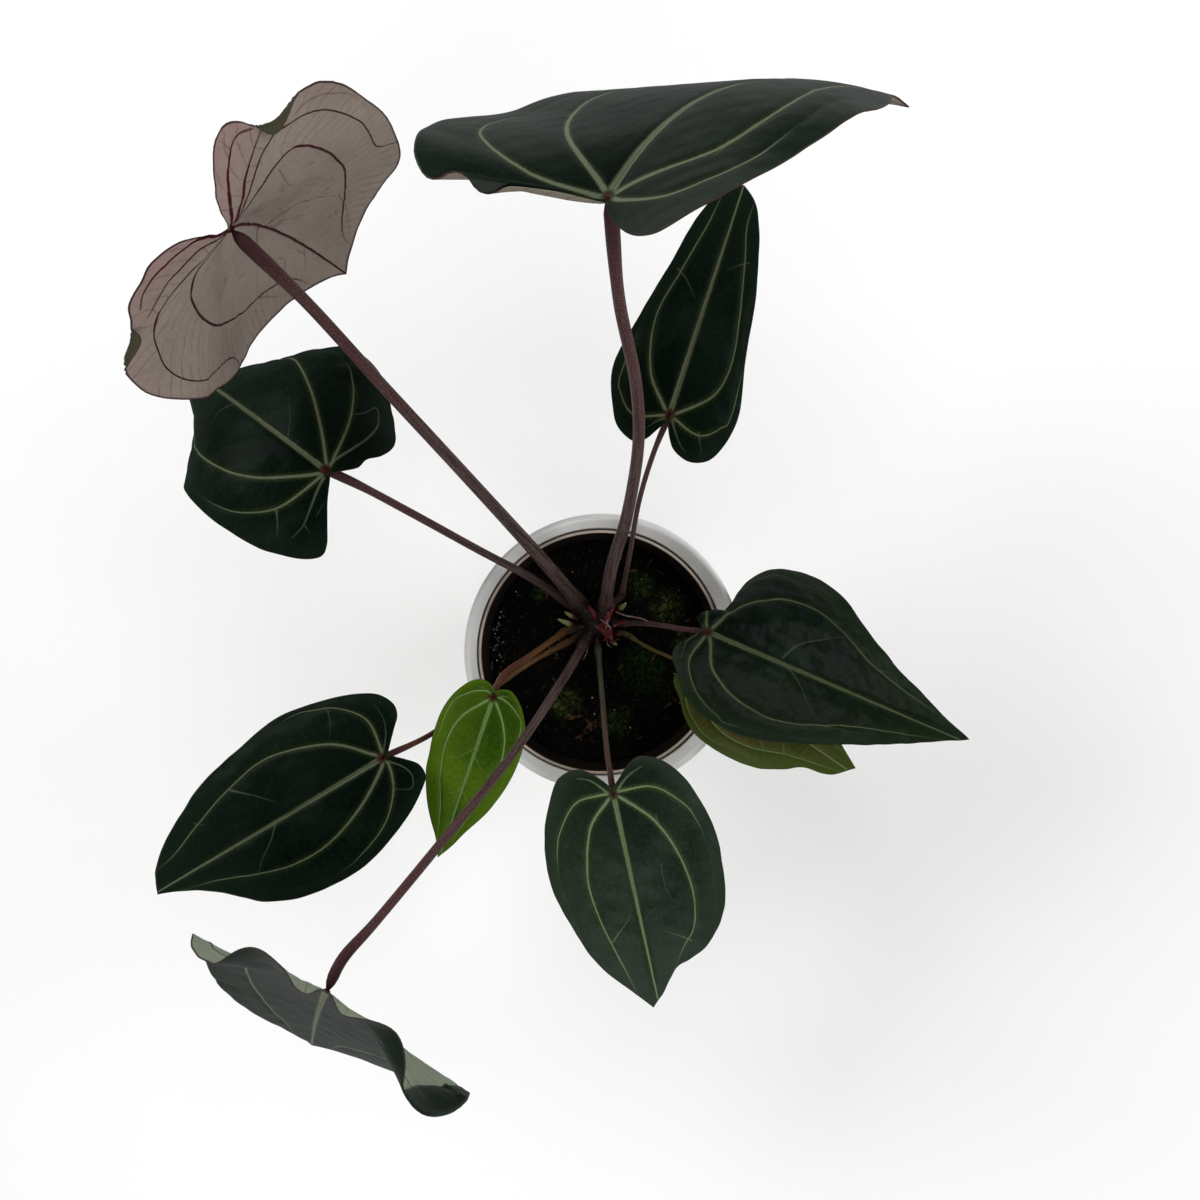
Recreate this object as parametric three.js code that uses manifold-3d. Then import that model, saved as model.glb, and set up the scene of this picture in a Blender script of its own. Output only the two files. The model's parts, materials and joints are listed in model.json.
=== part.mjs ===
// Round midnight anthurium in its pots: a tan nursery pot of soil stands in a white cover pot, and ten leaves
// rise from a short crown. Millimetres, +Z up. The origin is the middle of the cover pot's foot.

import * as THREE from 'three';
import { ParametricGeometry } from 'three/addons/geometries/ParametricGeometry.js';
import { mergeGeometries, mergeVertices } from 'three/addons/utils/BufferGeometryUtils.js';
import Module from 'manifold-3d';

const wasm = await Module();
wasm.setup();

// Gap that pieces in contact keep to each other
const GAP = 0.3;

// White cover pot
const COVER_HEIGHT = 122;
const COVER_RIM_RADIUS = 68;
const COVER_FOOT_RADIUS = 47;
const COVER_FLOOR = 4;
const COVER_WALL = 3.5;
const COVER_LIP_WIDTH = 3.5;
const COVER_SLOPE_DEPTH = 10;
const COVER_MOUTH_RADIUS = 62.2;

// Tan nursery pot, standing in the cover pot a little off its middle
const NURSERY_SHIFT = -1.2;
const NURSERY_TOP = 118;
const NURSERY_RIM_RADIUS = 60;
const NURSERY_FOOT_RADIUS = 41;
const NURSERY_WALL = 1.2;
const NURSERY_LIP_WIDTH = 2.2;
const NURSERY_LIP_HEIGHT = 9;
const NURSERY_NECK_RADIUS = 57.5;
const DRAIN_HOLES = 6;
const DRAIN_RING_RADIUS = 26;
const DRAIN_HOLE_RADIUS = 4;
const DRAIN_SIDES = 12;

// Soil, and how deep the plant stands in it
const SOIL_TOP = 103;
const SOIL_EDGE_DROP = 2;
const SOIL_LEVEL_RADIUS = 45;
const ROOT_DEPTH = 10;
const BUD_DEPTH = 5;

// Crown and leaf buds
const CROWN_AT = [-0.5, 12];
const CROWN_RADIUS = 5;
const CROWN_RISE = 5;
const CROWN_SHOULDER = 0.8;
const BUDS = [
  { from: [-10.5, 15.5], to: [-17.5, 19.5, 112], radius: 1.4 },
  { from: [-11.5, 12], to: [-21, 16, 111], radius: 1.5 },
  { from: [8, 19.5], to: [12.5, 24, 114], radius: 1.6 },
  { from: [7, 9], to: [10, 8.5, 111], radius: 1.2 },
  { from: [4, 6], to: [8, 3.5, 112], radius: 1.4 },
];

// Blades and stalks
const BLADE_THICKNESS = 0.7;
const NOTCH_RADIUS = 3;
const HALF_SECTORS = 24;
const BLADE_RINGS = 4;
const STALK_SIDES = 8;
const STALK_STEPS = 14;
const ROUND_SIDES = 40;
const SLENDER_FROM = 0.4;
const JOINT_SWELLING = 0.2;
const JOINT_FROM = [0.85, 0.95];
const END_SHARE = 0.7;
const SEAT_PLAY = 0.15;
const BUD_SHAPE = [0.6, 0.7, 0.7, 0.8, 1, 0.75, 0.3];

// Shares of a blade's length: where the lobes' shape gives way to the middle's, where the tip's begins, and
// the width over which each half turns by its arch
const LOBE_BLEND = 0.25;
const TIP_BLEND = 0.35;
const ARCH_WIDTH = 0.35;
const LEAST_ARCH = 0.01;
const WAVE_POWER = 3;

// Distances from the joint between which a curling half passes from flat to its full roll
const CURL_FROM = [4, 18];

const COLOURS = {
  cover: 0xf2f2f0,
  nursery: 0xa58f7c,
  soil: 0x17130f,
  crown: 0x4a2a22,
  bud: 0x8d9a4a,
  darkBlade: 0x1f2a24,
  limeBlade: 0x5f8f22,
  oliveBlade: 0x6e7440,
  darkStalk: 0x4b3536,
  paleStalk: 0x7a6a4a,
};

// One entry per leaf, measured from the middle of the nursery pot.
// joint: where stalk and blade meet. heading, pitch, roll: how the midrib sets off from there, in degrees.
// droop: turn of the midrib towards the underside over each half of its length; lobeDroop: the same behind
// the joint. sweep: its turn to the left; twist: turn about it. fold: rise of each half from the midrib, and
// arch: turn of each half towards the underside, at the lobes, the middle and the tip. left, right: outline
// of each half from the notch to the tip, along and from the midrib. route: the stalk's middle line from the
// soil. stalk: its radius at the soil, halfway and at the joint. waves: place round the rim from the notch,
// width and height of each wave of the margin. curl: from is how many degrees from the midrib the left half
// starts to roll under, and cone is half the angle of the cone it rolls to.
const LEAVES = {
  a: {
    joint: [-133, 159, 308], heading: 108, pitch: -67, roll: -23,
    droop: [40, 54], lobeDroop: -73, sweep: -2, twist: 10,
    foldLeft: [7, -20, -11], foldRight: [29, -9, 8], archLeft: [19, 23, 48], archRight: [18, -18, 6],
    left: [[-13, 1.2], [-28, 3.5], [-40, 9], [-44, 20], [-39, 29], [-36, 37], [-25, 44], [-20, 51], [-17, 60],
      [-9, 66], [2, 70], [27, 70], [50, 69], [70, 66], [82, 60], [92, 50], [109, 34], [123, 18], [132, 6]],
    right: [[-14, 3.2], [-29, 8], [-41, 16], [-50, 24], [-52, 31], [-44, 36], [-28, 38], [-19, 44], [-17, 54],
      [-10, 61], [7, 65], [52, 66], [79, 62], [97, 56], [103, 46], [109, 34], [118, 22], [130, 8]],
    tip: [138, 0],
    route: [[-9, 22, 103], [-27, 44, 139], [-59, 80, 189], [-88, 112, 234], [-113, 140, 275]],
    stalk: [3.6, 2.8, 2.3], blade: 'darkBlade', stem: 'darkStalk',
  },
  b: {
    joint: [3, 166, 323], heading: 64, pitch: -15, roll: -21,
    droop: [77, 45], lobeDroop: 42, sweep: -38, twist: -6,
    foldLeft: [47, -12, -3], foldRight: [36, 12, 0], archLeft: [27, 3, 39], archRight: [4, 21, 50],
    left: [[-5, 4], [-8, 12], [-11, 23], [-13, 32], [-15, 39], [-17, 49], [-18, 57], [-15, 66], [-7, 71],
      [7, 76], [24, 77], [50, 75], [80, 69], [110, 57], [139, 37], [158, 17], [170, 5]],
    right: [[-7, 3], [-14, 12], [-19, 22], [-20, 31], [-17, 37], [-10, 42], [0, 47], [14, 50], [42, 54],
      [60, 57], [80, 56], [105, 50], [132, 36], [152, 18], [168, 6]],
    tip: [178, 0],
    route: [[2.5, 21.5, 103], [5, 40, 145], [12, 64, 183], [16, 93, 222], [14, 113, 250], [7, 138, 284]],
    stalk: [3.4, 2.7, 2.3], blade: 'darkBlade', stem: 'darkStalk',
  },
  c: {
    joint: [30, 106, 203], heading: 72, pitch: 0, roll: 0,
    droop: [25, 25], lobeDroop: 10, sweep: 0, twist: 0,
    foldLeft: [5, 5, 5], foldRight: [5, 5, 5], archLeft: [35, 35, 35], archRight: [35, 35, 35],
    left: [[-8, 3], [-14, 7], [-16, 12], [-12, 20], [-4, 25], [9, 30], [21, 30], [34, 27], [53, 23],
      [66, 20], [84, 17], [101, 12], [111, 6]],
    right: [[-8, 2], [-14, 6], [-17, 13], [-16, 19], [-12, 24], [-2, 28], [11, 29], [35, 24], [58, 21],
      [81, 16], [96, 12], [108, 7]],
    tip: [115, 0],
    route: [[10.5, 27.5, 103], [14, 47, 133], [18, 72, 163], [24, 92, 187]],
    stalk: [1.5, 1.2, 1.2], blade: 'darkBlade', stem: 'darkStalk',
  },
  d: {
    joint: [-119, 82, 203], heading: 143, pitch: -4, roll: -1,
    droop: [76, 39], lobeDroop: 10, sweep: 6, twist: -4,
    foldLeft: [-11, 20, -21], foldRight: [-23, -4, -51], archLeft: [36, 39, 98], archRight: [63, 42, 54],
    left: [[-6, 5], [-10, 12], [-15, 20], [-19, 28], [-19, 35], [-11, 42], [4, 47], [22, 48], [37, 48],
      [60, 45], [82, 38], [104, 24], [118, 11], [127, 4]],
    right: [[-6, 4], [-10, 10], [-10, 16], [-13, 23], [-13, 33], [-8, 43], [1, 52], [15, 58], [37, 60],
      [60, 55], [82, 47], [104, 30], [118, 13], [127, 4]],
    tip: [133, 0],
    route: [[-17, 25, 103], [-33, 36, 127], [-57, 49, 150], [-82, 63, 172], [-106, 76, 192]],
    stalk: [2.3, 1.9, 1.8], blade: 'darkBlade', stem: 'darkStalk',
  },
  e: {
    joint: [-99, -46, 173], heading: 211, pitch: -2, roll: 0,
    droop: [15, 15], lobeDroop: 20, sweep: 0, twist: 0,
    foldLeft: [5, 5, 5], foldRight: [5, 5, 5], archLeft: [26, 26, 26], archRight: [26, 26, 26],
    left: [[-9, 6], [-13, 11], [-13, 17], [-9, 21], [2, 28], [19, 35], [35, 39], [52, 39], [69, 36],
      [84, 29], [96, 18], [107, 10], [120, 4]],
    right: [[-11, 8], [-16, 13], [-17, 19], [-13, 26], [-5, 31], [5, 35], [20, 39], [36, 41], [56, 38],
      [80, 33], [98, 25], [113, 17], [124, 8]],
    tip: [129, 1],
    route: [[-15.5, 5, 103], [-34, -5, 118], [-53, -18, 134], [-79, -37, 155]],
    stalk: [1.5, 1.3, 1.3], blade: 'darkBlade', stem: 'darkStalk',
  },
  f: {
    joint: [-49, -19, 168], heading: 251, pitch: -5, roll: 0,
    droop: [15, 15], lobeDroop: 10, sweep: 0, twist: 0,
    foldLeft: [5, 5, 5], foldRight: [5, 5, 5], archLeft: [20, 20, 20], archRight: [20, 20, 20],
    left: [[-5, 3], [-5, 8], [2, 15], [14, 20], [32, 20], [51, 15], [65, 8], [76, 3]],
    right: [[-6, 4], [-6, 9], [-2, 14], [7, 19], [19, 21], [34, 20], [46, 18], [61, 12], [73, 5]],
    tip: [83, -1],
    route: [[-17, 10.5, 103], [-32, 0, 130], [-46, -10, 152]],
    stalk: [1.7, 1.5, 1.4], blade: 'limeBlade', stem: 'paleStalk',
  },
  g: {
    joint: [-106, -126, 268], heading: 234, pitch: -69, roll: -9,
    droop: [-22, 4], lobeDroop: -25, sweep: 6, twist: 8,
    foldLeft: [16, 6, -8], foldRight: [3, 5, 13], archLeft: [-26, 4, 0], archRight: [-18, 5, -10],
    left: [[-15, 5], [-26, 15], [-29, 27], [-25, 41], [-13, 56], [0, 65], [16, 70], [38, 70], [61, 64],
      [84, 53], [106, 34], [121, 15], [130, 5]],
    right: [[-18, 5], [-32, 13], [-37, 24], [-31, 35], [-17, 47], [0, 54], [16, 57], [38, 59], [61, 55],
      [84, 47], [106, 30], [121, 13], [130, 4]],
    tip: [136, 0],
    waves: [[0.035, 0.03, 5], [0.085, 0.05, -8], [0.125, 0.03, 4], [0.2, 0.06, 8], [0.84, 0.06, 3],
      [0.895, 0.05, -6], [0.95, 0.035, 8]],
    route: [[-7.5, 5, 103], [-19, -14, 150], [-40, -44, 192], [-66, -75, 227], [-90, -103, 252],
      [-101, -115, 263]],
    stalk: [2.4, 2, 1.9], blade: 'darkBlade', stem: 'darkStalk',
  },
  h: {
    joint: [6, -64, 163], heading: 282, pitch: -5, roll: 0,
    droop: [20, 20], lobeDroop: 10, sweep: 0, twist: 0,
    foldLeft: [5, 5, 5], foldRight: [5, 5, 5], archLeft: [26, 26, 26], archRight: [26, 26, 26],
    left: [[-7, 4], [-13, 10], [-15, 16], [-11, 25], [-2, 33], [11, 39], [30, 44], [49, 44], [65, 42],
      [77, 36], [85, 28], [89, 20], [91, 13], [97, 8], [105, 3]],
    right: [[-9, 5], [-14, 11], [-15, 17], [-12, 24], [-4, 29], [10, 35], [26, 38], [40, 38], [53, 35],
      [74, 28], [86, 22], [95, 15], [106, 7]],
    tip: [112, -3],
    route: [[-1.5, 3, 103], [1, -23, 131], [3, -45, 149]],
    stalk: [1.6, 1.3, 1.3], blade: 'darkBlade', stem: 'darkStalk',
  },
  i: {
    joint: [49, 11, 171], heading: 337, pitch: -5, roll: 0,
    droop: [25, 25], lobeDroop: 20, sweep: 0, twist: 0,
    foldLeft: [-10, -10, -10], foldRight: [-10, -10, -10], archLeft: [44, 44, 44], archRight: [44, 44, 44],
    left: [[-8, 5], [-13, 11], [-15, 20], [-11, 30], [-2, 40], [9, 48], [21, 54], [33, 57], [46, 57],
      [58, 53], [67, 45], [77, 34], [96, 21], [113, 14], [131, 7]],
    right: [[-6, 5], [-9, 9], [-11, 13], [-10, 18], [-5, 24], [1, 32], [10, 39], [21, 43], [35, 45],
      [48, 43], [61, 38], [86, 26], [114, 13], [131, 5]],
    tip: [149, 2],
    curl: { from: 28, cone: 30 },
    route: [[10, 14, 103], [25, 14, 135], [39, 12, 157]],
    stalk: [1.6, 1.3, 1.3], blade: 'darkBlade', stem: 'darkStalk',
  },
  j: {
    joint: [46, -7, 138], heading: 326, pitch: -5, roll: 0,
    droop: [20, 20], lobeDroop: 10, sweep: 0, twist: 0,
    foldLeft: [0, 0, 0], foldRight: [0, 0, 0], archLeft: [17, 17, 17], archRight: [17, 17, 17],
    left: [[-6, 4], [-8, 9], [-5, 16], [2, 21], [13, 24], [28, 25], [44, 23], [60, 19], [74, 14], [86, 8]],
    right: [[-6, 5], [-6, 11], [2, 17], [9, 23], [18, 27], [30, 28], [42, 27], [54, 24], [66, 17],
      [74, 11], [88, 7]],
    tip: [99, 3],
    route: [[14, 8, 103], [24, 2, 117], [36, -3, 130]],
    stalk: [1, 0.9, 0.9], blade: 'oliveBlade', stem: 'paleStalk',
  },
};

const radians = THREE.MathUtils.degToRad;
const smoothstep = THREE.MathUtils.smoothstep;
const lerp = THREE.MathUtils.lerp;

// Value at distance along the midrib, from its values at the lobes, the middle and the tip
function along([lobe, middle, tip], distance, length) {
  const back = lerp(lobe, middle, smoothstep(distance, -LOBE_BLEND * length, LOBE_BLEND * length));
  return radians(back + (tip - middle) * smoothstep(distance, TIP_BLEND * length, length));
}

// Direction, normal and left-hand side of the midrib, with the joint's own frame as x, z and y
function midribFrame(leaf, distance) {
  const part = distance / leaf.tip[0];
  const ahead = leaf.droop[0] * Math.min(part, 0.5) + leaf.droop[1] * Math.max(part - 0.5, 0);
  const down = radians(part < 0 ? leaf.lobeDroop * part : ahead);
  const aside = radians(leaf.sweep * part);
  const tangent = new THREE.Vector3(
    Math.cos(down) * Math.cos(aside),
    Math.sin(aside),
    -Math.sin(down) * Math.cos(aside),
  );
  const normal = new THREE.Vector3(Math.sin(down), 0, Math.cos(down));
  normal.addScaledVector(tangent, -normal.dot(tangent)).normalize();
  normal.applyAxisAngle(tangent, radians(leaf.twist * part));
  const left = new THREE.Vector3().crossVectors(normal, tangent);
  return { tangent, normal, left };
}

const MIDRIB_STEPS = 24;

function midribPoint(leaf, distance) {
  const point = new THREE.Vector3();
  const step = distance / MIDRIB_STEPS;
  for (let i = 0; i < MIDRIB_STEPS; i += 1) {
    point.addScaledVector(midribFrame(leaf, (i + 0.5) * step).tangent, step);
  }
  return point;
}

// Point of the blade's middle surface, along and from the midrib, in the joint's frame
function sheetPoint(leaf, u, v) {
  const { normal, left } = midribFrame(leaf, u);
  const length = leaf.tip[0];
  const fold = along(v < 0 ? leaf.foldRight : leaf.foldLeft, u, length);
  const arch = along(v < 0 ? leaf.archRight : leaf.archLeft, u, length);
  const bend = (Math.abs(arch) < LEAST_ARCH ? LEAST_ARCH : arch) / (ARCH_WIDTH * length);
  const out = Math.sin(bend * Math.abs(v)) / bend;
  const up = (Math.cos(bend * Math.abs(v)) - 1) / bend;
  const point = midribPoint(leaf, u);
  point.addScaledVector(left, Math.sign(v) * (out * Math.cos(fold) - up * Math.sin(fold)));
  return point.addScaledVector(normal, out * Math.sin(fold) + up * Math.cos(fold));
}

// The same with the half that curls rolled under, round a cone with its point at the joint. The blade stays
// flat close to the joint.
function curledPoint(leaf, u, v) {
  const start = radians(leaf.curl?.from ?? 180);
  const turn = Math.atan2(v, u) - start;
  if (turn <= 0) {
    return sheetPoint(leaf, u, v);
  }
  const size = Math.hypot(u, v);
  const cone = radians(lerp(90, leaf.curl.cone, smoothstep(size, ...CURL_FROM)));
  const roll = turn / Math.sin(cone);
  const ahead = size * (Math.cos(cone) ** 2 + Math.sin(cone) ** 2 * Math.cos(roll));
  const aside = size * Math.sin(cone) * Math.sin(roll);
  const below = size * Math.sin(cone) * Math.cos(cone) * (1 - Math.cos(roll));
  const at = new THREE.Vector2(ahead, aside).rotateAround(new THREE.Vector2(), start);
  return sheetPoint(leaf, at.x, at.y).addScaledVector(midribFrame(leaf, at.x).normal, -below);
}

const PROBE = 0.5;

// Point of the blade raised from its middle surface, by the waves of its margin too. place runs from 0 to 1
// round the rim from the notch, and share from 0 to 1 out to the rim.
function bladePoint(leaf, rim, place, share, lift) {
  const corner = rim[Math.round(place * (rim.length - 1))];
  const [u, v] = [share * corner.x, share * corner.y];
  const rise = (leaf.waves ?? []).reduce((sum, [middle, width, height]) => {
    return sum + height * share ** WAVE_POWER * Math.max(0, 1 - ((place - middle) / width) ** 2) ** 2;
  }, lift);
  const du = curledPoint(leaf, u + PROBE, v).sub(curledPoint(leaf, u - PROBE, v));
  const dv = curledPoint(leaf, u, v + PROBE).sub(curledPoint(leaf, u, v - PROBE));
  const normal = du.cross(dv).normalize();
  return curledPoint(leaf, u, v).addScaledVector(normal, rise);
}

// Rim of the blade, from the notch round the tip and back to the notch
function bladeRim(leaf) {
  const notch = new THREE.Vector2(-NOTCH_RADIUS, 0);
  const tip = new THREE.Vector2(...leaf.tip);
  const half = (points, side) => {
    const inner = points.map(([u, v]) => new THREE.Vector2(u, side * v));
    return new THREE.SplineCurve([notch, ...inner, tip]).getSpacedPoints(HALF_SECTORS);
  };
  return [...half(leaf.left, 1), ...half(leaf.right, -1).reverse().slice(1)];
}

// Closed body with its shared corners merged and no empty triangles
function welded(geometries) {
  const bare = geometries.map((geometry) => {
    const copy = geometry.clone();
    copy.deleteAttribute('normal');
    copy.deleteAttribute('uv');
    return copy;
  });
  const body = mergeVertices(mergeGeometries(bare), 1e-4);
  const index = body.getIndex().array;
  const kept = [];
  for (let i = 0; i < index.length; i += 3) {
    const [a, b, c] = index.slice(i, i + 3);
    if (a !== b && b !== c && c !== a) {
      kept.push(a, b, c);
    }
  }
  body.setIndex(kept);
  body.computeVertexNormals();
  return body;
}

function turnedInsideOut(geometry) {
  const index = geometry.getIndex();
  for (let i = 0; i < index.count; i += 3) {
    const first = index.getX(i);
    index.setX(i, index.getX(i + 1));
    index.setX(i + 1, first);
  }
  return geometry;
}

// Thin blade: upper and under face split into triangles alike, and the edge between them
function bladeGeometry(leaf) {
  const rim = bladeRim(leaf);
  const sectors = rim.length - 1;
  const half = BLADE_THICKNESS / 2;
  const face = (lift) => new ParametricGeometry((s, t, target) => {
    target.copy(bladePoint(leaf, rim, s, t, lift));
  }, sectors, BLADE_RINGS);
  const edge = new ParametricGeometry((s, t, target) => {
    target.copy(bladePoint(leaf, rim, s, 1, lerp(half, -half, t)));
  }, sectors, 1);
  return welded([face(half), turnedInsideOut(face(-half)), edge]);
}

function bladeRotation(leaf) {
  return new THREE.Euler(radians(leaf.roll), -radians(leaf.pitch), radians(leaf.heading), 'ZYX');
}

// Round rod along a curve. radii holds its radius at each row along it; both ends close on the middle line.
// spare widens it and lowers its foot, for a hole it stands in.
function rodGeometry(curve, radii, spare = 0) {
  const steps = radii.length - 1;
  const frames = curve.computeFrenetFrames(steps);
  const rows = radii.map((radius, i) => new THREE.Vector2(radius + spare, i));
  const profile = [new THREE.Vector2(0, 0), ...rows, new THREE.Vector2(0, steps)];
  const rod = new THREE.LatheGeometry(profile, STALK_SIDES);
  const corners = rod.getAttribute('position');
  for (let i = 0; i < corners.count; i += 1) {
    const row = Math.round(corners.getY(i));
    const point = curve.getPointAt(row / steps);
    point.addScaledVector(frames.normals[row], corners.getX(i));
    point.addScaledVector(frames.binormals[row], -corners.getZ(i));
    point.z -= row === 0 ? spare : 0;
    corners.setXYZ(i, ...point.toArray());
  }
  return welded([rod]);
}

function stalkEndRadius(leaf) {
  return leaf.stalk[2] * (1 + JOINT_SWELLING) * END_SHARE;
}

// Middle line of a stalk, from its foot in the soil to its rounded end under the blade
function stalkCurve(leaf) {
  const route = leaf.route.map((point) => new THREE.Vector3(...point));
  const up = new THREE.Vector3(0, 0, 1).applyEuler(bladeRotation(leaf));
  const joint = new THREE.Vector3(...leaf.joint);
  const lean = joint.clone().sub(route.at(-1)).angleTo(up);
  const dip = -Math.min(0, along(leaf.foldLeft, 0, leaf.tip[0]), along(leaf.foldRight, 0, leaf.tip[0]));
  const seat = stalkEndRadius(leaf) * Math.sin(lean + dip) + BLADE_THICKNESS / 2 + GAP + SEAT_PLAY;
  const end = joint.addScaledVector(up, -seat);
  const foot = route[0].clone().setZ(SOIL_TOP - ROOT_DEPTH);
  return new THREE.CatmullRomCurve3([foot, ...route, end], false, 'centripetal');
}

// Radius of a stalk at each row: thick at the soil, then slender, with a swollen joint at its end
function stalkRadii(leaf) {
  const [base, middle, top] = leaf.stalk;
  const radii = [];
  for (let i = 0; i <= STALK_STEPS; i += 1) {
    const part = i / STALK_STEPS;
    const lower = lerp(base, middle, Math.min(part / SLENDER_FROM, 1));
    const radius = lerp(lower, top, Math.max(part - SLENDER_FROM, 0) / (1 - SLENDER_FROM));
    const swelling = 1 + JOINT_SWELLING * smoothstep(part, ...JOINT_FROM);
    radii.push(radius * swelling * (i === STALK_STEPS ? END_SHARE : 1));
  }
  return radii;
}

function budCurve(bud) {
  const from = new THREE.Vector3(...bud.from, SOIL_TOP);
  const to = new THREE.Vector3(...bud.to);
  const foot = from.clone().setZ(SOIL_TOP - BUD_DEPTH);
  return new THREE.CatmullRomCurve3([foot, from, to], false, 'centripetal');
}

function stalkGeometry(leaf, spare = 0) {
  return rodGeometry(stalkCurve(leaf), stalkRadii(leaf), spare);
}

function budGeometry(bud, spare = 0) {
  return rodGeometry(budCurve(bud), BUD_SHAPE.map((share) => bud.radius * share), spare);
}

function crownGeometry(spare = 0) {
  const foot = SOIL_TOP - ROOT_DEPTH - spare;
  const top = SOIL_TOP + CROWN_RISE;
  const radius = CROWN_RADIUS + spare;
  const shoulder = [radius * CROWN_SHOULDER, lerp(SOIL_TOP, top, CROWN_SHOULDER)];
  const profile = [[0, foot], [radius, foot], [radius, SOIL_TOP], shoulder, [0, top]];
  const crown = new THREE.LatheGeometry(profile.map((point) => new THREE.Vector2(...point)), STALK_SIDES * 2);
  crown.rotateX(Math.PI / 2).translate(...CROWN_AT, 0);
  return welded([crown]);
}

// Solid of revolution about Z from its outline of radius and height
function turned(outline) {
  const profile = outline.map((point) => new THREE.Vector2(...point));
  return welded([new THREE.LatheGeometry(profile, ROUND_SIDES).rotateX(Math.PI / 2)]);
}

function coverPotGeometry() {
  const slopeTop = COVER_RIM_RADIUS - COVER_LIP_WIDTH;
  const inside = COVER_FOOT_RADIUS - COVER_WALL;
  return turned([
    [0, 0],
    [COVER_FOOT_RADIUS, 0],
    [COVER_RIM_RADIUS, COVER_HEIGHT],
    [slopeTop, COVER_HEIGHT],
    [COVER_MOUTH_RADIUS, COVER_HEIGHT - COVER_SLOPE_DEPTH],
    [inside, COVER_FLOOR],
    [0, COVER_FLOOR],
  ]);
}

function nurseryPotGeometry() {
  const foot = COVER_FLOOR + GAP;
  const neck = NURSERY_TOP - NURSERY_LIP_HEIGHT;
  const pot = turned([
    [0, foot],
    [NURSERY_FOOT_RADIUS, foot],
    [NURSERY_NECK_RADIUS, neck],
    [NURSERY_RIM_RADIUS, neck],
    [NURSERY_RIM_RADIUS, NURSERY_TOP],
    [NURSERY_RIM_RADIUS - NURSERY_LIP_WIDTH, NURSERY_TOP],
    [NURSERY_NECK_RADIUS - NURSERY_WALL, neck],
    [NURSERY_FOOT_RADIUS - NURSERY_WALL, foot + NURSERY_WALL],
    [0, foot + NURSERY_WALL],
  ]);
  const drains = [];
  for (let i = 0; i < DRAIN_HOLES; i += 1) {
    const turn = (2 * Math.PI * i) / DRAIN_HOLES;
    const depth = 4 * NURSERY_WALL;
    const drain = new THREE.CylinderGeometry(DRAIN_HOLE_RADIUS, DRAIN_HOLE_RADIUS, depth, DRAIN_SIDES);
    drain.rotateX(Math.PI / 2);
    drain.translate(DRAIN_RING_RADIUS * Math.cos(turn), DRAIN_RING_RADIUS * Math.sin(turn), foot);
    drains.push(welded([drain]));
  }
  return cutFrom(pot, drains);
}

function soilGeometry() {
  const foot = COVER_FLOOR + GAP;
  const bottom = foot + NURSERY_WALL + GAP;
  const slope = (NURSERY_NECK_RADIUS - NURSERY_FOOT_RADIUS) / (NURSERY_TOP - NURSERY_LIP_HEIGHT - foot);
  const inside = NURSERY_FOOT_RADIUS - NURSERY_WALL - 2 * GAP;
  const wallAt = (height) => inside + slope * (height - foot);
  const edge = SOIL_TOP - SOIL_EDGE_DROP;
  const soil = turned([
    [0, bottom],
    [wallAt(bottom), bottom],
    [wallAt(edge), edge],
    [SOIL_LEVEL_RADIUS, SOIL_TOP],
    [0, SOIL_TOP],
  ]);
  const stalks = Object.values(LEAVES).map((leaf) => stalkGeometry(leaf, GAP));
  const buds = BUDS.map((bud) => budGeometry(bud, GAP));
  return cutFrom(soil, [crownGeometry(GAP), ...stalks, ...buds]);
}

function solidOf(geometry) {
  const vertProperties = new Float32Array(geometry.getAttribute('position').array);
  const triVerts = new Uint32Array(geometry.getIndex().array);
  return new wasm.Manifold(new wasm.Mesh({ numProp: 3, vertProperties, triVerts }));
}

// Body with others cut out of it
function cutFrom(body, cutters) {
  const solid = cutters.reduce((rest, cutter) => rest.subtract(solidOf(cutter)), solidOf(body));
  const mesh = solid.getMesh();
  const geometry = new THREE.BufferGeometry();
  geometry.setAttribute('position', new THREE.BufferAttribute(mesh.vertProperties, 3));
  geometry.setIndex(new THREE.BufferAttribute(mesh.triVerts, 1));
  geometry.computeVertexNormals();
  return geometry;
}

function piece(name, geometry, colour, roughness) {
  const material = new THREE.MeshStandardMaterial({ color: COLOURS[colour], roughness, metalness: 0 });
  const mesh = new THREE.Mesh(geometry, material);
  mesh.name = name;
  return mesh;
}

// The nursery pot with all it holds
function plant() {
  const group = new THREE.Group();
  group.position.x = NURSERY_SHIFT;
  group.add(piece('nursery_pot', nurseryPotGeometry(), 'nursery', 0.6));
  group.add(piece('soil', soilGeometry(), 'soil', 0.95));
  group.add(piece('crown', crownGeometry(), 'crown', 0.7));
  BUDS.forEach((bud, i) => {
    group.add(piece(`bud_${i + 1}`, budGeometry(bud), 'bud', 0.5));
  });
  for (const [name, leaf] of Object.entries(LEAVES)) {
    group.add(piece(`stalk_${name}`, stalkGeometry(leaf), leaf.stem, 0.55));
    const blade = piece(`blade_${name}`, bladeGeometry(leaf), leaf.blade, 0.4);
    blade.position.set(...leaf.joint);
    blade.rotation.copy(bladeRotation(leaf));
    group.add(blade);
  }
  return group;
}

const anthurium = new THREE.Group();
anthurium.add(piece('cover_pot', coverPotGeometry(), 'cover', 0.35));
anthurium.add(plant());

export default anthurium;
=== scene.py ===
"""Potted round midnight anthurium: its detailed pieces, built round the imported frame, in metres and +Z up."""

import json
import math

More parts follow.
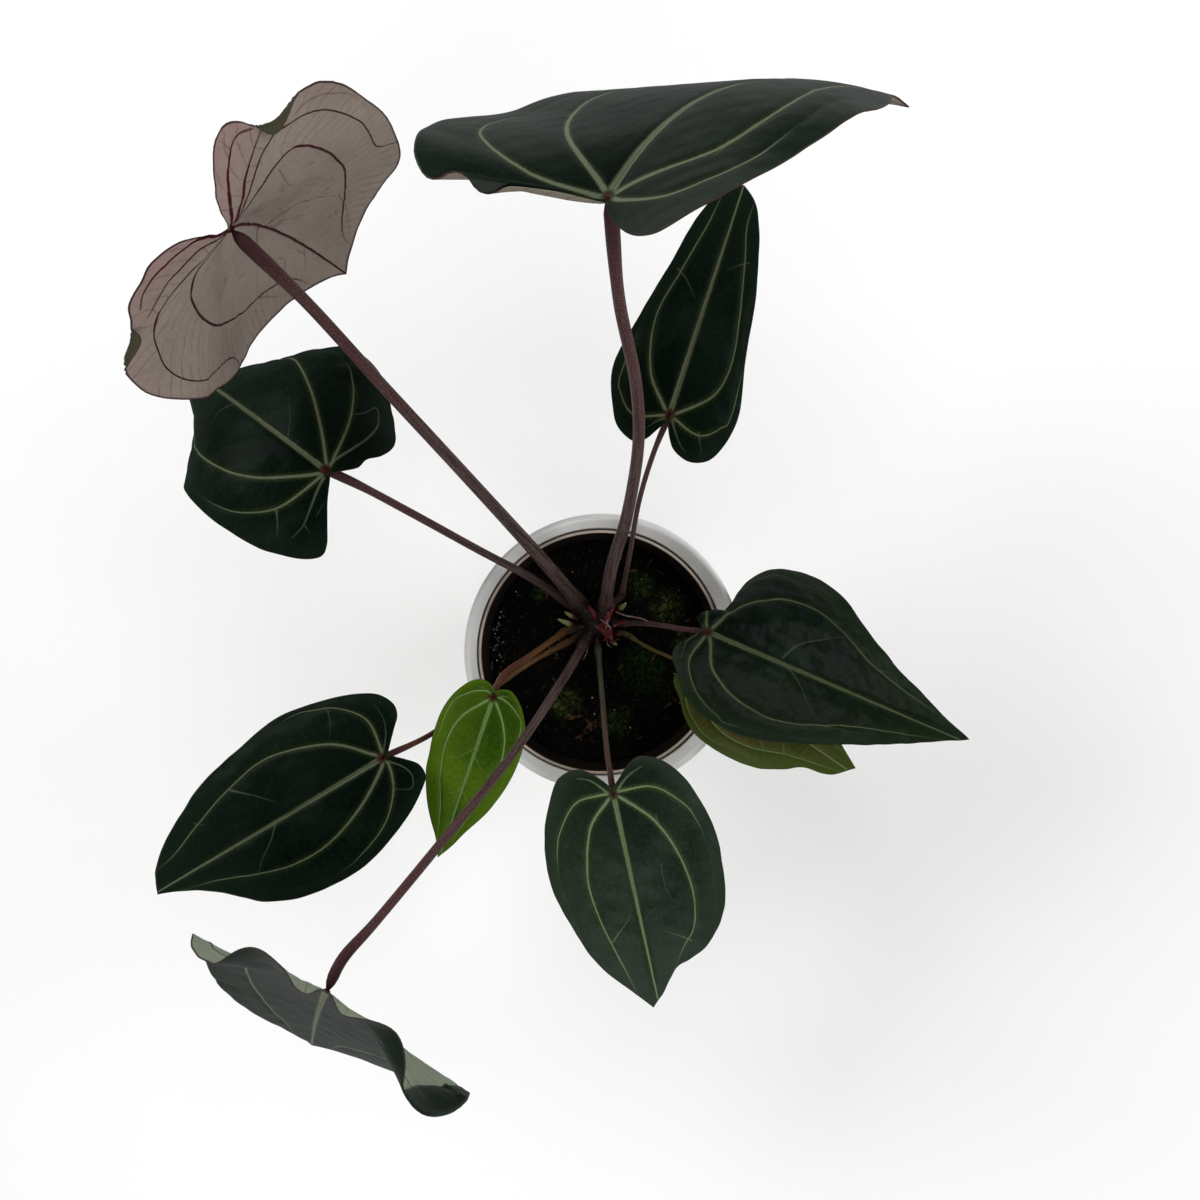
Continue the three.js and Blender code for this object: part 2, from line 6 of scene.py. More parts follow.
import bpy
import numpy as np
from bpy.props import FloatProperty, FloatVectorProperty, PointerProperty
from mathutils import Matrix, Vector

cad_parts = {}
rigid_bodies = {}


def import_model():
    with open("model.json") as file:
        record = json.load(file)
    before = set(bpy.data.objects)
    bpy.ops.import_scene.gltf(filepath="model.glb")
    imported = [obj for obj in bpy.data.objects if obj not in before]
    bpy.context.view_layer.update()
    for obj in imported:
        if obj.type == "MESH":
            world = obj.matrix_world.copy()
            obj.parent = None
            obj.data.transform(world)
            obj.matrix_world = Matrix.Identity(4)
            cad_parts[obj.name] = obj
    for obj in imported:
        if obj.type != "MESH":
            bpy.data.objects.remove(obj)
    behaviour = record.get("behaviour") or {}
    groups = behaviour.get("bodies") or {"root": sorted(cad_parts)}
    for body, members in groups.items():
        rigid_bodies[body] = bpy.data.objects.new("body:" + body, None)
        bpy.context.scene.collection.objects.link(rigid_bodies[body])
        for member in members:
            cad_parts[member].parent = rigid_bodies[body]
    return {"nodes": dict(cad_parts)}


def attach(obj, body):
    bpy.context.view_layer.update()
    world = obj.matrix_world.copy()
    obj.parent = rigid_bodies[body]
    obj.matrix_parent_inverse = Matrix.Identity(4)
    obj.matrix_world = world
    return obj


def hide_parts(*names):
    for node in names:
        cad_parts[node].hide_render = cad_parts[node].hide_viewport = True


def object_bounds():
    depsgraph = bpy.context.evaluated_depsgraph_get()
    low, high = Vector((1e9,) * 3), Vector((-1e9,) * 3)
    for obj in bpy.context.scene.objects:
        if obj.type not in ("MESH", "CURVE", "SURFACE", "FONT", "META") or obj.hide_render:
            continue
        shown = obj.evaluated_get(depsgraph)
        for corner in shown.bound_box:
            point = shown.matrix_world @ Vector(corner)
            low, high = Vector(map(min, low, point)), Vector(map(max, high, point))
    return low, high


bl_info = {
    "name": "Potted round midnight anthurium",
    "version": (1, 0, 0),
    "blender": (4, 5, 0),
    "location": "3D View > Sidebar > Anthurium",
    "description": "Leaves, stalks, soil and pots of the anthurium, with its studio stage",
    "category": "Add Mesh",
}

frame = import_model()
NODES = frame["nodes"]
CAD_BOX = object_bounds()
MM = 0.001

# The plant stands this far to the side of the cover pot's middle, and its soil this high (mm)
PLANT_SHIFT = -1.2
SOIL_TOP = 103

# Angles across a blade pass from the lobes' to the middle's within this share of its length either way
# from the joint, and to the tip's from the second share on. An arch turns by its angle over this share of
# the length.
LOBE_BLEND = 0.25
TIP_BLEND = 0.35
ARCH_WIDTH = 0.35

# Least arch (radians), so that none is divided by nothing, and how steeply a wave grows towards the rim
LEAST_ARCH = 0.01
WAVE_POWER = 3

# Distances from the joint between which a curl grows to its full turn, half the step over which a blade's
# slope is taken, and the gap from the joint to the notch (mm)
CURL_FROM = (4, 18)
PROBE = 0.5
NOTCH_RADIUS = 3

# Shortest step of a line that is divided by (mm)
LEAST_STEP = 1e-6

# The leaves, as in the part: places in mm from the middle of the nursery pot, and angles in degrees. The
# points of outlines and veins lie along and from the midrib of the flat blade. Most were read off the
# photograph and worked back to the flat blade by calculation, and the tilt, bends and folds of a, b, d and
# g were fitted to them. inner and outer are the two main veins of each half beside the midrib.
# Each runs from the joint to the rim, where it ends at the given share of the way from the notch to the
# tip. twigs are the thinner veins, in two sets so that those of one set stay apart, each with its width
# and its points.
LEAVES = {
    "a": dict(
        joint=(-133, 159, 308), heading=108, pitch=-67, roll=-23,
        droop=(40, 54), lobe_droop=-73, sweep=-2, twist=10,
        fold_left=(7, -20, -11), fold_right=(29, -9, 8), arch_left=(19, 23, 48), arch_right=(18, -18, 6),
        left=[(-13, 1.2), (-28, 3.5), (-40, 9), (-44, 20), (-39, 29), (-36, 37), (-25, 44), (-20, 51),
              (-17, 60), (-9, 66), (2, 70), (27, 70), (50, 69), (70, 66), (82, 60), (92, 50), (109, 34),
              (123, 18), (132, 6)],
        right=[(-14, 3.2), (-29, 8), (-41, 16), (-50, 24), (-52, 31), (-44, 36), (-28, 38), (-19, 44),
               (-17, 54), (-10, 61), (7, 65), (52, 66), (79, 62), (97, 56), (103, 46), (109, 34), (118, 22),
               (130, 8)],
        tip=(138, 0),
        inner_left=[(-1, 6), (-3, 18), (1, 27), (16, 37), (36, 42), (56, 42), (76, 37), (88, 29), (108, 16)],
        outer_left=[(-3, 6), (-11, 22), (-11, 42), (-4, 52), (6, 60), (22, 63), (50, 61), (72, 56)],
        inner_right=[(0, 6), (-1, 18), (-2, 30), (4, 38), (25, 42), (45, 41), (62, 39), (84, 31), (115, 14)],
        outer_right=[(-2, 5), (-12, 21), (-14, 37), (-8, 47), (4, 54), (29, 58), (50, 57), (72, 54)],
        route=[(-9, 22, 103), (-27, 44, 139), (-59, 80, 189), (-88, 112, 234), (-113, 140, 275)],
        stalk=(3.6, 2.8, 2.3), finish="dusky", under="rose", stem="maroon",
        folds=[(0.836, 0.021, 5.5), (0.165, 0.017, 6)],
        twigs=(
            [(1.6, [(-5.1, -1.5), (-23.2, -11.8), (-33.6, -20), (-39.1, -26.8), (-38.9, -33),
                    (-30.1, -36.2)]),
             (1.6, [(-5.4, 0.3), (-29.6, 4.2), (-34.1, 12.9), (-35.5, 22.9), (-32, 31.5), (-25.1, 38.4)]),
             (0.75, [(59.5, -2), (56.6, -8.8), (60.1, -18.2), (82.2, -27.7)]),
             (0.6, [(51.6, 0.8), (65.7, 10.2), (79.7, 20.7), (87.1, 29.3)]),
             (0.4, [(103.4, 1.5), (111.5, 6.3), (116.7, 14.1)]),
             (0.45, [(-11.3, -47), (-8.5, -54.2), (1.3, -60.2), (16.9, -63.9), (38.4, -63.3)])],
            [(1.6, [(-2.5, -3.2), (-18.5, -21.2), (-21.2, -29), (-22.6, -34.4)]),
             (1.5, [(-2.4, 1.7), (-19.5, 8.6), (-20.4, 19.2), (-20, 29.9), (-16.9, 38.5)]),
             (0.5, [(-39.1, -26.8), (-50.4, -27.5)]), (0.45, [(87.1, 29.3), (106.8, 24.7), (118.9, 17.7)]),
             (0.4, [(4.6, -26.8), (27.2, -23.5), (44.1, -30.5), (68.5, -30.8)]),
             (0.45, [(83, -28.2), (100.5, -24.2), (118.5, -15.9)])],
        ),
    ),
    "b": dict(
        joint=(3, 166, 323), heading=64, pitch=-15, roll=-21,
        droop=(77, 45), lobe_droop=42, sweep=-38, twist=-6,
        fold_left=(47, -12, -3), fold_right=(36, 12, 0), arch_left=(27, 3, 39), arch_right=(4, 21, 50),
        left=[(-5, 4), (-8, 12), (-11, 23), (-13, 32), (-15, 39), (-17, 49), (-18, 57), (-15, 66), (-7, 71),
              (7, 76), (24, 77), (50, 75), (80, 69), (110, 57), (139, 37), (158, 17), (170, 5)],
        right=[(-7, 3), (-14, 12), (-19, 22), (-20, 31), (-17, 37), (-10, 42), (0, 47), (14, 50), (42, 54),
               (60, 57), (80, 56), (105, 50), (132, 36), (152, 18), (168, 6)],
        tip=(178, 0),
        inner_left=[(4, 6), (21, 30), (43, 46), (70, 50), (105, 40), (140, 21)],
        outer_left=[(-2, 6), (-4, 28), (3, 50), (14, 61), (40, 66), (75, 61)],
        inner_right=[(4, 5), (24, 26), (49, 33), (73, 34), (98, 28), (130, 17)],
        outer_right=[(-2, 8), (0, 26), (12, 37), (30, 43), (65, 46), (92, 43)],
        route=[(2.5, 21.5, 103), (5, 40, 145), (12, 64, 183), (16, 93, 222), (14, 113, 250), (7, 138, 284)],
        stalk=(3.4, 2.7, 2.3), finish="satin", under="pale", stem="maroon",
        folds=[(0.032, 0.034, -4)], puckers=0.25,
        waves=[(0.072, 0.013, -4), (0.09, 0.012, 3), (0.108, 0.013, -3), (0.135, 0.02, 2)],
        twigs=(
            [(0.5, [(35.4, -29.7), (25, -30.4), (22.8, -24.9)]),
             (0.45, [(11.2, 56.9), (9, 64.4), (5.3, 66.8)])],
            [(0.5, [(34.9, -30), (49.8, -34.6), (65, -38.9)]),
             (0.4, [(36.7, 44.8), (53.1, 50.7), (61.9, 58.2)])],
        ),
    ),
    "c": dict(
        joint=(30, 106, 203), heading=72, pitch=0, roll=0,
        droop=(25, 25), lobe_droop=10, sweep=0, twist=0,
        fold_left=(5, 5, 5), fold_right=(5, 5, 5), arch_left=(35, 35, 35), arch_right=(35, 35, 35),
        left=[(-8, 3), (-14, 7), (-16, 12), (-12, 20), (-4, 25), (9, 30), (21, 30), (34, 27), (53, 23),
              (66, 20), (84, 17), (101, 12), (111, 6)],
        right=[(-8, 2), (-14, 6), (-17, 13), (-16, 19), (-12, 24), (-2, 28), (11, 29), (35, 24), (58, 21),
               (81, 16), (96, 12), (108, 7)],
        tip=(115, 0),
        inner_left=[(3, 4), (16, 14), (39, 19), (62, 15), (88, 10)],
        outer_left=[(-2, 4), (-5, 15), (2, 23), (13, 26)],
        inner_right=[(2, 4), (14, 16), (30, 19), (51, 16), (76, 11), (94, 7)],
        outer_right=[(-2, 4), (-5, 15), (1, 23), (10, 26)],
        outer_end=0.62,
        route=[(10.5, 27.5, 103), (14, 47, 133), (18, 72, 163), (24, 92, 187)],
        stalk=(1.5, 1.2, 1.2), finish="midnight", under="pale", stem="maroon",
        twigs=(
            [(0.6, [(63.5, 16.1), (60.4, 12.1), (57, 9), (52.8, 5.5)]),
             (0.55, [(76.4, -12.4), (73.8, -8.8), (69.4, -4.3)]),
             (0.8, [(-1.2, -1.2), (-6.1, -4.2), (-11.7, -8.7), (-13.3, -11.5)]),
             (0.7, [(-2.2, 1.2), (-5, 4.6), (-8.6, 7.7)])],
            [(0.55, [(-3.9, -14.4), (-7.8, -16.2), (-11.4, -18.1)])],
        ),
    ),
    "d": dict(
        joint=(-119, 82, 203), heading=143, pitch=-4, roll=-1,
        droop=(76, 39), lobe_droop=10, sweep=6, twist=-4,
        fold_left=(-11, 20, -21), fold_right=(-23, -4, -51), arch_left=(36, 39, 98), arch_right=(63, 42, 54),
        left=[(-6, 5), (-10, 12), (-15, 20), (-19, 28), (-19, 35), (-11, 42), (4, 47), (22, 48), (37, 48),
              (60, 45), (82, 38), (104, 24), (118, 11), (127, 4)],
        right=[(-6, 4), (-10, 10), (-10, 16), (-13, 23), (-13, 33), (-8, 43), (1, 52), (15, 58), (37, 60),
               (60, 55), (82, 47), (104, 30), (118, 13), (127, 4)],
        tip=(133, 0),
        inner_left=[(1, 3), (13, 14), (24, 22), (38, 27), (60, 28), (88, 21)],
        outer_left=[(0, 5), (6, 24), (16, 35), (28, 41), (46, 42)],
        inner_right=[(2, 3), (16, 15), (34, 26), (56, 33), (80, 30), (104, 17)],
        outer_right=[(0, 5), (8, 26), (22, 42), (40, 50), (60, 49)],
        route=[(-17, 25, 103), (-33, 36, 127), (-57, 49, 150), (-82, 63, 172), (-106, 76, 192)],
        stalk=(2.3, 1.9, 1.8), finish="midnight", under="pale", stem="maroon",
        twigs=(
            [(0.9, [(-0.2, -3.1), (-0.9, -7.9), (-3.2, -19.5), (-3, -29.9), (-0.2, -38.2), (5.7, -42.3),
                    (6.5, -34.5), (9.7, -27.5)]),
             (0.9, [(-1.8, 3.2), (-2.8, 9.3), (-4.7, 17.8), (-6, 26.3), (-4.6, 33.8)]),
             (0.5, [(58.8, 1), (61.9, 5.3), (63, 10.4), (61.5, 15.7)])],
            [(0.7, [(7.1, 26.9), (4, 31.3), (1.3, 37.1)]), (0.5, [(-6.5, 25.5), (-10.4, 27.1)]),
             (0.4, [(21.9, -0.5), (27.7, -8.2), (36.9, -16.5)]), (0.35, [(-8.5, 17.9), (-8.2, 9.4)])],
        ),
    ),
    "e": dict(
        joint=(-99, -46, 173), heading=211, pitch=-2, roll=0,
        droop=(15, 15), lobe_droop=20, sweep=0, twist=0,
        fold_left=(5, 5, 5), fold_right=(5, 5, 5), arch_left=(26, 26, 26), arch_right=(26, 26, 26),
        left=[(-9, 6), (-13, 11), (-13, 17), (-9, 21), (2, 28), (19, 35), (35, 39), (52, 39), (69, 36),
              (84, 29), (96, 18), (107, 10), (120, 4)],
        right=[(-11, 8), (-16, 13), (-17, 19), (-13, 26), (-5, 31), (5, 35), (20, 39), (36, 41), (56, 38),
               (80, 33), (98, 25), (113, 17), (124, 8)],
        tip=(129, 1),
        inner_left=[(3, 4), (20, 14), (42, 21), (62, 21), (80, 16), (96, 10)],
        outer_left=[(-1, 5), (3, 15), (14, 26), (31, 33), (48, 35)],
        inner_right=[(3, 4), (18, 18), (46, 27), (70, 24), (93, 17), (110, 11)],
        outer_right=[(-2, 5), (-3, 18), (4, 28), (14, 34), (34, 38)],
        route=[(-15.5, 5, 103), (-34, -5, 118), (-53, -18, 134), (-79, -37, 155)],
        stalk=(1.5, 1.3, 1.3), finish="midnight", under="pale", stem="bronze",
        twigs=(
            [(0.7, [(70.4, -24), (61.7, -16.7), (52.9, -8)]),
             (0.6, [(56.9, -0.9), (63.9, 5.9), (71.7, 11), (78.9, 17.1)]),
             (0.7, [(-1.7, 2.6), (-6.4, 8.5), (-7.7, 14), (-4.2, 18.7), (2.9, 14.3)]),
             (0.6, [(-1.3, -1.4), (-6.7, -7.7), (-9.9, -15.1), (-9.4, -22.4)])],
            [(0.5, [(93.2, -18.6), (88.2, -15.1)]), (0.45, [(10.6, -31.1), (12.6, -25.3), (15.4, -20.8)])],
        ),
    ),
    "f": dict(
        joint=(-49, -19, 168), heading=251, pitch=-5, roll=0,
        droop=(15, 15), lobe_droop=10, sweep=0, twist=0,
        fold_left=(5, 5, 5), fold_right=(5, 5, 5), arch_left=(20, 20, 20), arch_right=(20, 20, 20),
        left=[(-5, 3), (-5, 8), (2, 15), (14, 20), (32, 20), (51, 15), (65, 8), (76, 3)],
        right=[(-6, 4), (-6, 9), (-2, 14), (7, 19), (19, 21), (34, 20), (46, 18), (61, 12), (73, 5)],
        tip=(83, -1),
        inner_left=[(3, 3), (10, 8), (20, 12), (36, 13), (52, 8)],
        outer_left=[(-1, 4), (3, 12), (12, 17)],
        inner_right=[(3, 3), (13, 11), (26, 14), (42, 12), (58, 7)],
        outer_right=[(-2, 4), (2, 12), (12, 18)],
        outer_end=0.62,
        route=[(-17, 10.5, 103), (-32, 0, 130), (-46, -10, 152)],
        stalk=(1.7, 1.5, 1.4), finish="lime", under="fresh", stem="bronze",
        twigs=(
            [(0.6, [(-0.5, -1), (-3, -5), (-3, -9)]), (0.6, [(-0.5, 1), (-2.5, 5), (-2, 9)]),
             (0.5, [(28, 0), (34, 6), (38, 12)]), (0.5, [(24, 0), (31, -6), (34, -13)])],
            [(0.45, [(46, 0), (51, 4), (54, 7)]), (0.45, [(44, 0), (49, -4), (50, -10)])],
        ),
    ),
    "g": dict(
        joint=(-106, -126, 268), heading=234, pitch=-69, roll=-9,
        droop=(-22, 4), lobe_droop=-25, sweep=6, twist=8,
        fold_left=(16, 6, -8), fold_right=(3, 5, 13), arch_left=(-26, 4, 0), arch_right=(-18, 5, -10),
        left=[(-15, 5), (-26, 15), (-29, 27), (-25, 41), (-13, 56), (0, 65), (16, 70), (38, 70), (61, 64),
              (84, 53), (106, 34), (121, 15), (130, 5)],
        right=[(-18, 5), (-32, 13), (-37, 24), (-31, 35), (-17, 47), (0, 54), (16, 57), (38, 59), (61, 55),
               (84, 47), (106, 30), (121, 13), (130, 4)],
        tip=(136, 0),
        inner_left=[(1, 6), (2, 18), (12, 31), (34, 40), (62, 39), (88, 26), (110, 13)],
        outer_left=[(-3, 6), (-9, 22), (-6, 42), (8, 55), (34, 60), (58, 56)],
        inner_right=[(1, 6), (2, 17), (12, 28), (34, 35), (62, 33), (88, 23), (110, 12)],
        outer_right=[(-3, 6), (-11, 20), (-8, 36), (8, 47), (34, 51), (58, 48)],
        waves=[(0.045, 0.035, 2.5), (0.082, 0.045, -9), (0.2, 0.08, 5), (0.9, 0.04, -9), (0.955, 0.03, 3)],
        folds=[(0.19, 0.075, 16)], puckers=0.6,
        route=[(-7.5, 5, 103), (-19, -14, 150), (-40, -44, 192), (-66, -75, 227), (-90, -103, 252),
               (-101, -115, 263)],
        stalk=(2.4, 2, 1.9), finish="satin", under="grey", stem="maroon",
        twigs=(
            [(0.9, [(-2, 2), (-14, 14), (-20, 28)]), (0.9, [(-2, -2), (-18, -12), (-26, -24)])],
            [],
        ),
    ),
    "h": dict(
        joint=(6, -64, 163), heading=282, pitch=-5, roll=0,
        droop=(20, 20), lobe_droop=10, sweep=0, twist=0,
        fold_left=(5, 5, 5), fold_right=(5, 5, 5), arch_left=(26, 26, 26), arch_right=(26, 26, 26),
        left=[(-7, 4), (-13, 10), (-15, 16), (-11, 25), (-2, 33), (11, 39), (30, 44), (49, 44), (65, 42),
              (77, 36), (85, 28), (89, 20), (91, 13), (97, 8), (105, 3)],
        right=[(-9, 5), (-14, 11), (-15, 17), (-12, 24), (-4, 29), (10, 35), (26, 38), (40, 38), (53, 35),
               (74, 28), (86, 22), (95, 15), (106, 7)],
        tip=(112, -3),
        inner_left=[(3, 4), (16, 16), (35, 24), (56, 27), (73, 24), (82, 17)],
        outer_left=[(-1, 5), (0, 18), (8, 28), (19, 35), (42, 39)],
        inner_right=[(3, 4), (14, 14), (37, 20), (56, 19), (71, 16), (88, 12)],
        outer_right=[(-1, 5), (0, 17), (8, 25), (20, 31), (40, 33)],
        route=[(-1.5, 3, 103), (1, -23, 131), (3, -45, 149)],
        stalk=(1.6, 1.3, 1.3), finish="moss", under="pale", stem="grey",
        twigs=(
            [(0.6, [(71.2, -15), (66.6, -11), (62.1, -6.1), (58.2, -3.8)]),
             (0.6, [(79.2, 21.2), (75.3, 16.7), (70.9, 10.4)]),
             (0.9, [(-0.8, -2.1), (-6.5, -6.8), (-9.5, -10.6), (-10.9, -15.3)]),
             (0.9, [(-1.6, 2.2), (-5.8, 6.4), (-8.8, 11.3), (-10.4, 15.8)])],
            [(0.35, [(37.6, 14.7), (45, 14.4), (54.2, 15.8), (59.5, 20.8)]),
             (0.4, [(13.3, 17.3), (22.8, 17.9)])],
        ),
    ),
    "i": dict(
        joint=(49, 11, 171), heading=337, pitch=-5, roll=0,
        droop=(25, 25), lobe_droop=20, sweep=0, twist=0,
        fold_left=(-10, -10, -10), fold_right=(-10, -10, -10),
        arch_left=(44, 44, 44), arch_right=(44, 44, 44),
        left=[(-8, 5), (-13, 11), (-15, 20), (-11, 30), (-2, 40), (9, 48), (21, 54), (33, 57), (46, 57),
              (58, 53), (67, 45), (77, 34), (96, 21), (113, 14), (131, 7)],
        right=[(-6, 5), (-9, 9), (-11, 13), (-10, 18), (-5, 24), (1, 32), (10, 39), (21, 43), (35, 45),
               (48, 43), (61, 38), (86, 26), (114, 13), (131, 5)],
        tip=(149, 2),
        curl=(28, 30), puckers=1.3,
        inner_left=[(3, 6), (10, 19), (27, 30), (44, 33), (60, 29), (88, 15)],
        outer_left=[(-3, 6), (-6, 22), (2, 36), (18, 46), (40, 49)],
        inner_right=[(3, 4), (10, 16), (26, 25), (45, 28), (60, 25), (88, 14)],
        outer_right=[(-1, 5), (-2, 17), (8, 30), (22, 38), (38, 40)],
        route=[(10, 14, 103), (25, 14, 135), (39, 12, 157)],
        stalk=(1.6, 1.3, 1.3), finish="glossy", under="pale", stem="maroon",
        twigs=(
            [(0.7, [(37.2, 2.9), (42, 10.8), (51.8, 17.6), (65.1, 24.8)]),
             (0.55, [(38.4, 0.3), (48, -4.4), (58.8, -13.2), (69.6, -20.7)]),
             (0.5, [(14.5, 44.1), (27.9, 50.6), (38.1, 45.9), (43.9, 38.7)])],
            [(0.5, [(85.2, 15.2), (93.2, 16.8), (98.3, 13.6)]),
             (0.5, [(69.6, -20.7), (80.6, -18.8), (91.4, -16.1)]),
             (0.7, [(-4.3, -2.7), (-7.1, -8.2), (-6.1, -16.5)])],
        ),
    ),
    "j": dict(
        joint=(46, -7, 138), heading=326, pitch=-5, roll=0,
        droop=(20, 20), lobe_droop=10, sweep=0, twist=0,
        fold_left=(0, 0, 0), fold_right=(0, 0, 0), arch_left=(17, 17, 17), arch_right=(17, 17, 17),
        left=[(-6, 4), (-8, 9), (-5, 16), (2, 21), (13, 24), (28, 25), (44, 23), (60, 19), (74, 14), (86, 8)],
        right=[(-6, 5), (-6, 11), (2, 17), (9, 23), (18, 27), (30, 28), (42, 27), (54, 24), (66, 17),
               (74, 11), (88, 7)],
        tip=(99, 3),
        inner_left=[(3, 4), (12, 12), (30, 16), (50, 13), (68, 8)],
        outer_left=[(-1, 4), (0, 12), (10, 20), (24, 22)],
        inner_right=[(3, 4), (14, 14), (29, 19), (46, 17), (64, 10)],
        outer_right=[(-1, 5), (4, 15), (14, 22), (28, 25)],
        outer_end=0.66,
        route=[(14, 8, 103), (24, 2, 117), (36, -3, 130)],
        stalk=(1, 0.9, 0.9), finish="olive", under="fresh", stem="green",
        twigs=(
            [(0.6, [(58, -7.8), (61.3, -11.3), (63, -12.7)]),
             (0.5, [(69.8, -1.7), (69.5, -6.1), (70, -11.2)])],
            [(0.5, [(47, -12.6), (52, -15.1), (52.9, -18.7)])],
        ),
    ),
}

# Columns of each half of a blade's mesh round the rim, and rows out from the joint to it
HALF_COLUMNS = 120
BLADE_ROWS = 76

# Shares of the way round the rim from the notch at which the veins beside the midrib end
INNER_END = 0.94
OUTER_END = 0.72


# Shape of the leaves

def eased(value, low, high):
    """Smooth step from 0 at low to 1 at high."""
    share = np.clip((value - low) / (high - low), 0, 1)
    return share * share * (3 - 2 * share)


def along_blade(shape, distance, length):
    """Angle at a distance along the midrib, from its values at the lobes, the middle and the tip."""
    lobe, middle, tip = shape
    back = lobe + (middle - lobe) * eased(distance, -LOBE_BLEND * length, LOBE_BLEND * length)
    return np.radians(back + (tip - middle) * eased(distance, TIP_BLEND * length, length))


def midrib_frame(leaf, distance):
    """Direction, normal and left-hand side of the midrib at each distance from the joint."""
    part = np.asarray(distance, float) / leaf["tip"][0]
    ahead = leaf["droop"][0] * np.minimum(part, 0.5) + leaf["droop"][1] * np.maximum(part - 0.5, 0)
    down = np.radians(np.where(part < 0, leaf["lobe_droop"] * part, ahead))
    aside = np.radians(leaf["sweep"] * part)
    tangent = np.stack([np.cos(down) * np.cos(aside), np.sin(aside), -np.sin(down) * np.cos(aside)], -1)
    normal = np.stack([np.sin(down), np.zeros_like(down), np.cos(down)], -1)
    normal -= (normal * tangent).sum(-1, keepdims=True) * tangent
    normal /= np.linalg.norm(normal, axis=-1, keepdims=True)
    turn = np.radians(leaf["twist"] * part)[..., None]
    normal = normal * np.cos(turn) + np.cross(tangent, normal) * np.sin(turn)
    return tangent, normal, np.cross(normal, tangent)


def midrib_point(leaf, distance):
    """Place of the midrib at each distance from the joint."""
    step = 0.5
    reach = 240
    starts = np.arange(-reach / 2, reach, step)
    steps = midrib_frame(leaf, starts + step / 2)[0] * step
    points = np.concatenate([np.zeros((1, 3)), np.cumsum(steps, 0)])
    points -= points[int(reach / 2 / step)]
    stations = np.append(starts, starts[-1] + step)
    return np.stack([np.interp(distance, stations, points[:, i]) for i in range(3)], -1)


def sheet_point(leaf, u, v):
    """Point of the blade's middle surface, along and from the midrib."""
    _, normal, left = midrib_frame(leaf, u)
    length = leaf["tip"][0]
    right_side = v < 0
    fold = np.where(
        right_side, along_blade(leaf["fold_right"], u, length), along_blade(leaf["fold_left"], u, length)
    )
    arch = np.where(
        right_side, along_blade(leaf["arch_right"], u, length), along_blade(leaf["arch_left"], u, length)
    )
    bend = np.where(abs(arch) < LEAST_ARCH, LEAST_ARCH, arch) / (ARCH_WIDTH * length)
    out = np.sin(bend * abs(v)) / bend
    up = (np.cos(bend * abs(v)) - 1) / bend
    aside = np.where(right_side, -1, 1) * (out * np.cos(fold) - up * np.sin(fold))
    above = out * np.sin(fold) + up * np.cos(fold)
    return midrib_point(leaf, u) + aside[..., None] * left + above[..., None] * normal


def curled_point(leaf, u, v):
    """The same with the half that curls rolled under, round a cone with its point at the joint."""
    if "curl" not in leaf:
        return sheet_point(leaf, u, v)
    start = math.radians(leaf["curl"][0])
    turn = np.arctan2(v, u) - start
    size = np.hypot(u, v)
    cone = np.radians(90 + (leaf["curl"][1] - 90) * eased(size, *CURL_FROM))
    roll = np.maximum(turn, 0) / np.sin(cone)
    ahead = size * (np.cos(cone) ** 2 + np.sin(cone) ** 2 * np.cos(roll))
    aside = size * np.sin(cone) * np.sin(roll)
    below = size * np.sin(cone) * np.cos(cone) * (1 - np.cos(roll))
    rolled = turn > 0
    x = np.where(rolled, ahead * math.cos(start) - aside * math.sin(start), u)
    y = np.where(rolled, ahead * math.sin(start) + aside * math.cos(start), v)
    return sheet_point(leaf, x, y) - np.where(rolled, below, 0)[..., None] * midrib_frame(leaf, x)[1]


def turn_about_z(turn):
    """Rotation about the vertical."""
    return np.array([[math.cos(turn), -math.sin(turn), 0], [math.sin(turn), math.cos(turn), 0], [0, 0, 1]])


def leaf_turn(leaf):
    """Rotation from the joint's own frame to the plant's."""
    roll, tilt = math.radians(leaf["roll"]), -math.radians(leaf["pitch"])
    about_x = np.array([[1, 0, 0], [0, math.cos(roll), -math.sin(roll)], [0, math.sin(roll), math.cos(roll)]])
    about_y = np.array([[math.cos(tilt), 0, math.sin(tilt)], [0, 1, 0], [-math.sin(tilt), 0, math.cos(tilt)]])
    return turn_about_z(math.radians(leaf["heading"])) @ about_y @ about_x


def blade_point(leaf, u, v, rise):
    """Point of the blade in the whole plant's frame, in metres, raised by rise (mm) along its normal."""
    along_u = curled_point(leaf, u + PROBE, v) - curled_point(leaf, u - PROBE, v)
    along_v = curled_point(leaf, u, v + PROBE) - curled_point(leaf, u, v - PROBE)
    normal = np.cross(along_u, along_v)
    normal /= np.linalg.norm(normal, axis=-1, keepdims=True)
    point = curled_point(leaf, u, v) + normal * rise[..., None]
    return (point @ leaf_turn(leaf).T + np.array(leaf["joint"]) + (PLANT_SHIFT, 0, 0)) * MM


def smooth_line(points, steps=16):
    """Fine points of the smooth curve through the given ones."""
    knots = np.array([points[0], *points, points[-1]], float)
    t = np.linspace(0, 1, steps, endpoint=False)[:, None]
    line = []
    for before, start, end, after in zip(knots, knots[1:], knots[2:], knots[3:]):
        line.append(0.5 * (
            2 * start + (end - before) * t + (2 * before - 5 * start + 4 * end - after) * t ** 2
            + (3 * start - before - 3 * end + after) * t ** 3
        ))
    return np.concatenate([*line, knots[-1:]])


def reached_along(line):
    """How far along a line each of its points is."""
    return np.concatenate([[0], np.cumsum(np.linalg.norm(np.diff(line, axis=0), axis=1))])


def at_distances(line, distances):
    """Points at given distances along a line."""
    reached = reached_along(line)
    return np.stack([np.interp(distances, reached, values) for values in line.T], -1)


def at_shares(line, shares):
    """Points at given shares of a line's length."""
    return at_distances(line, np.asarray(shares) * reached_along(line)[-1])


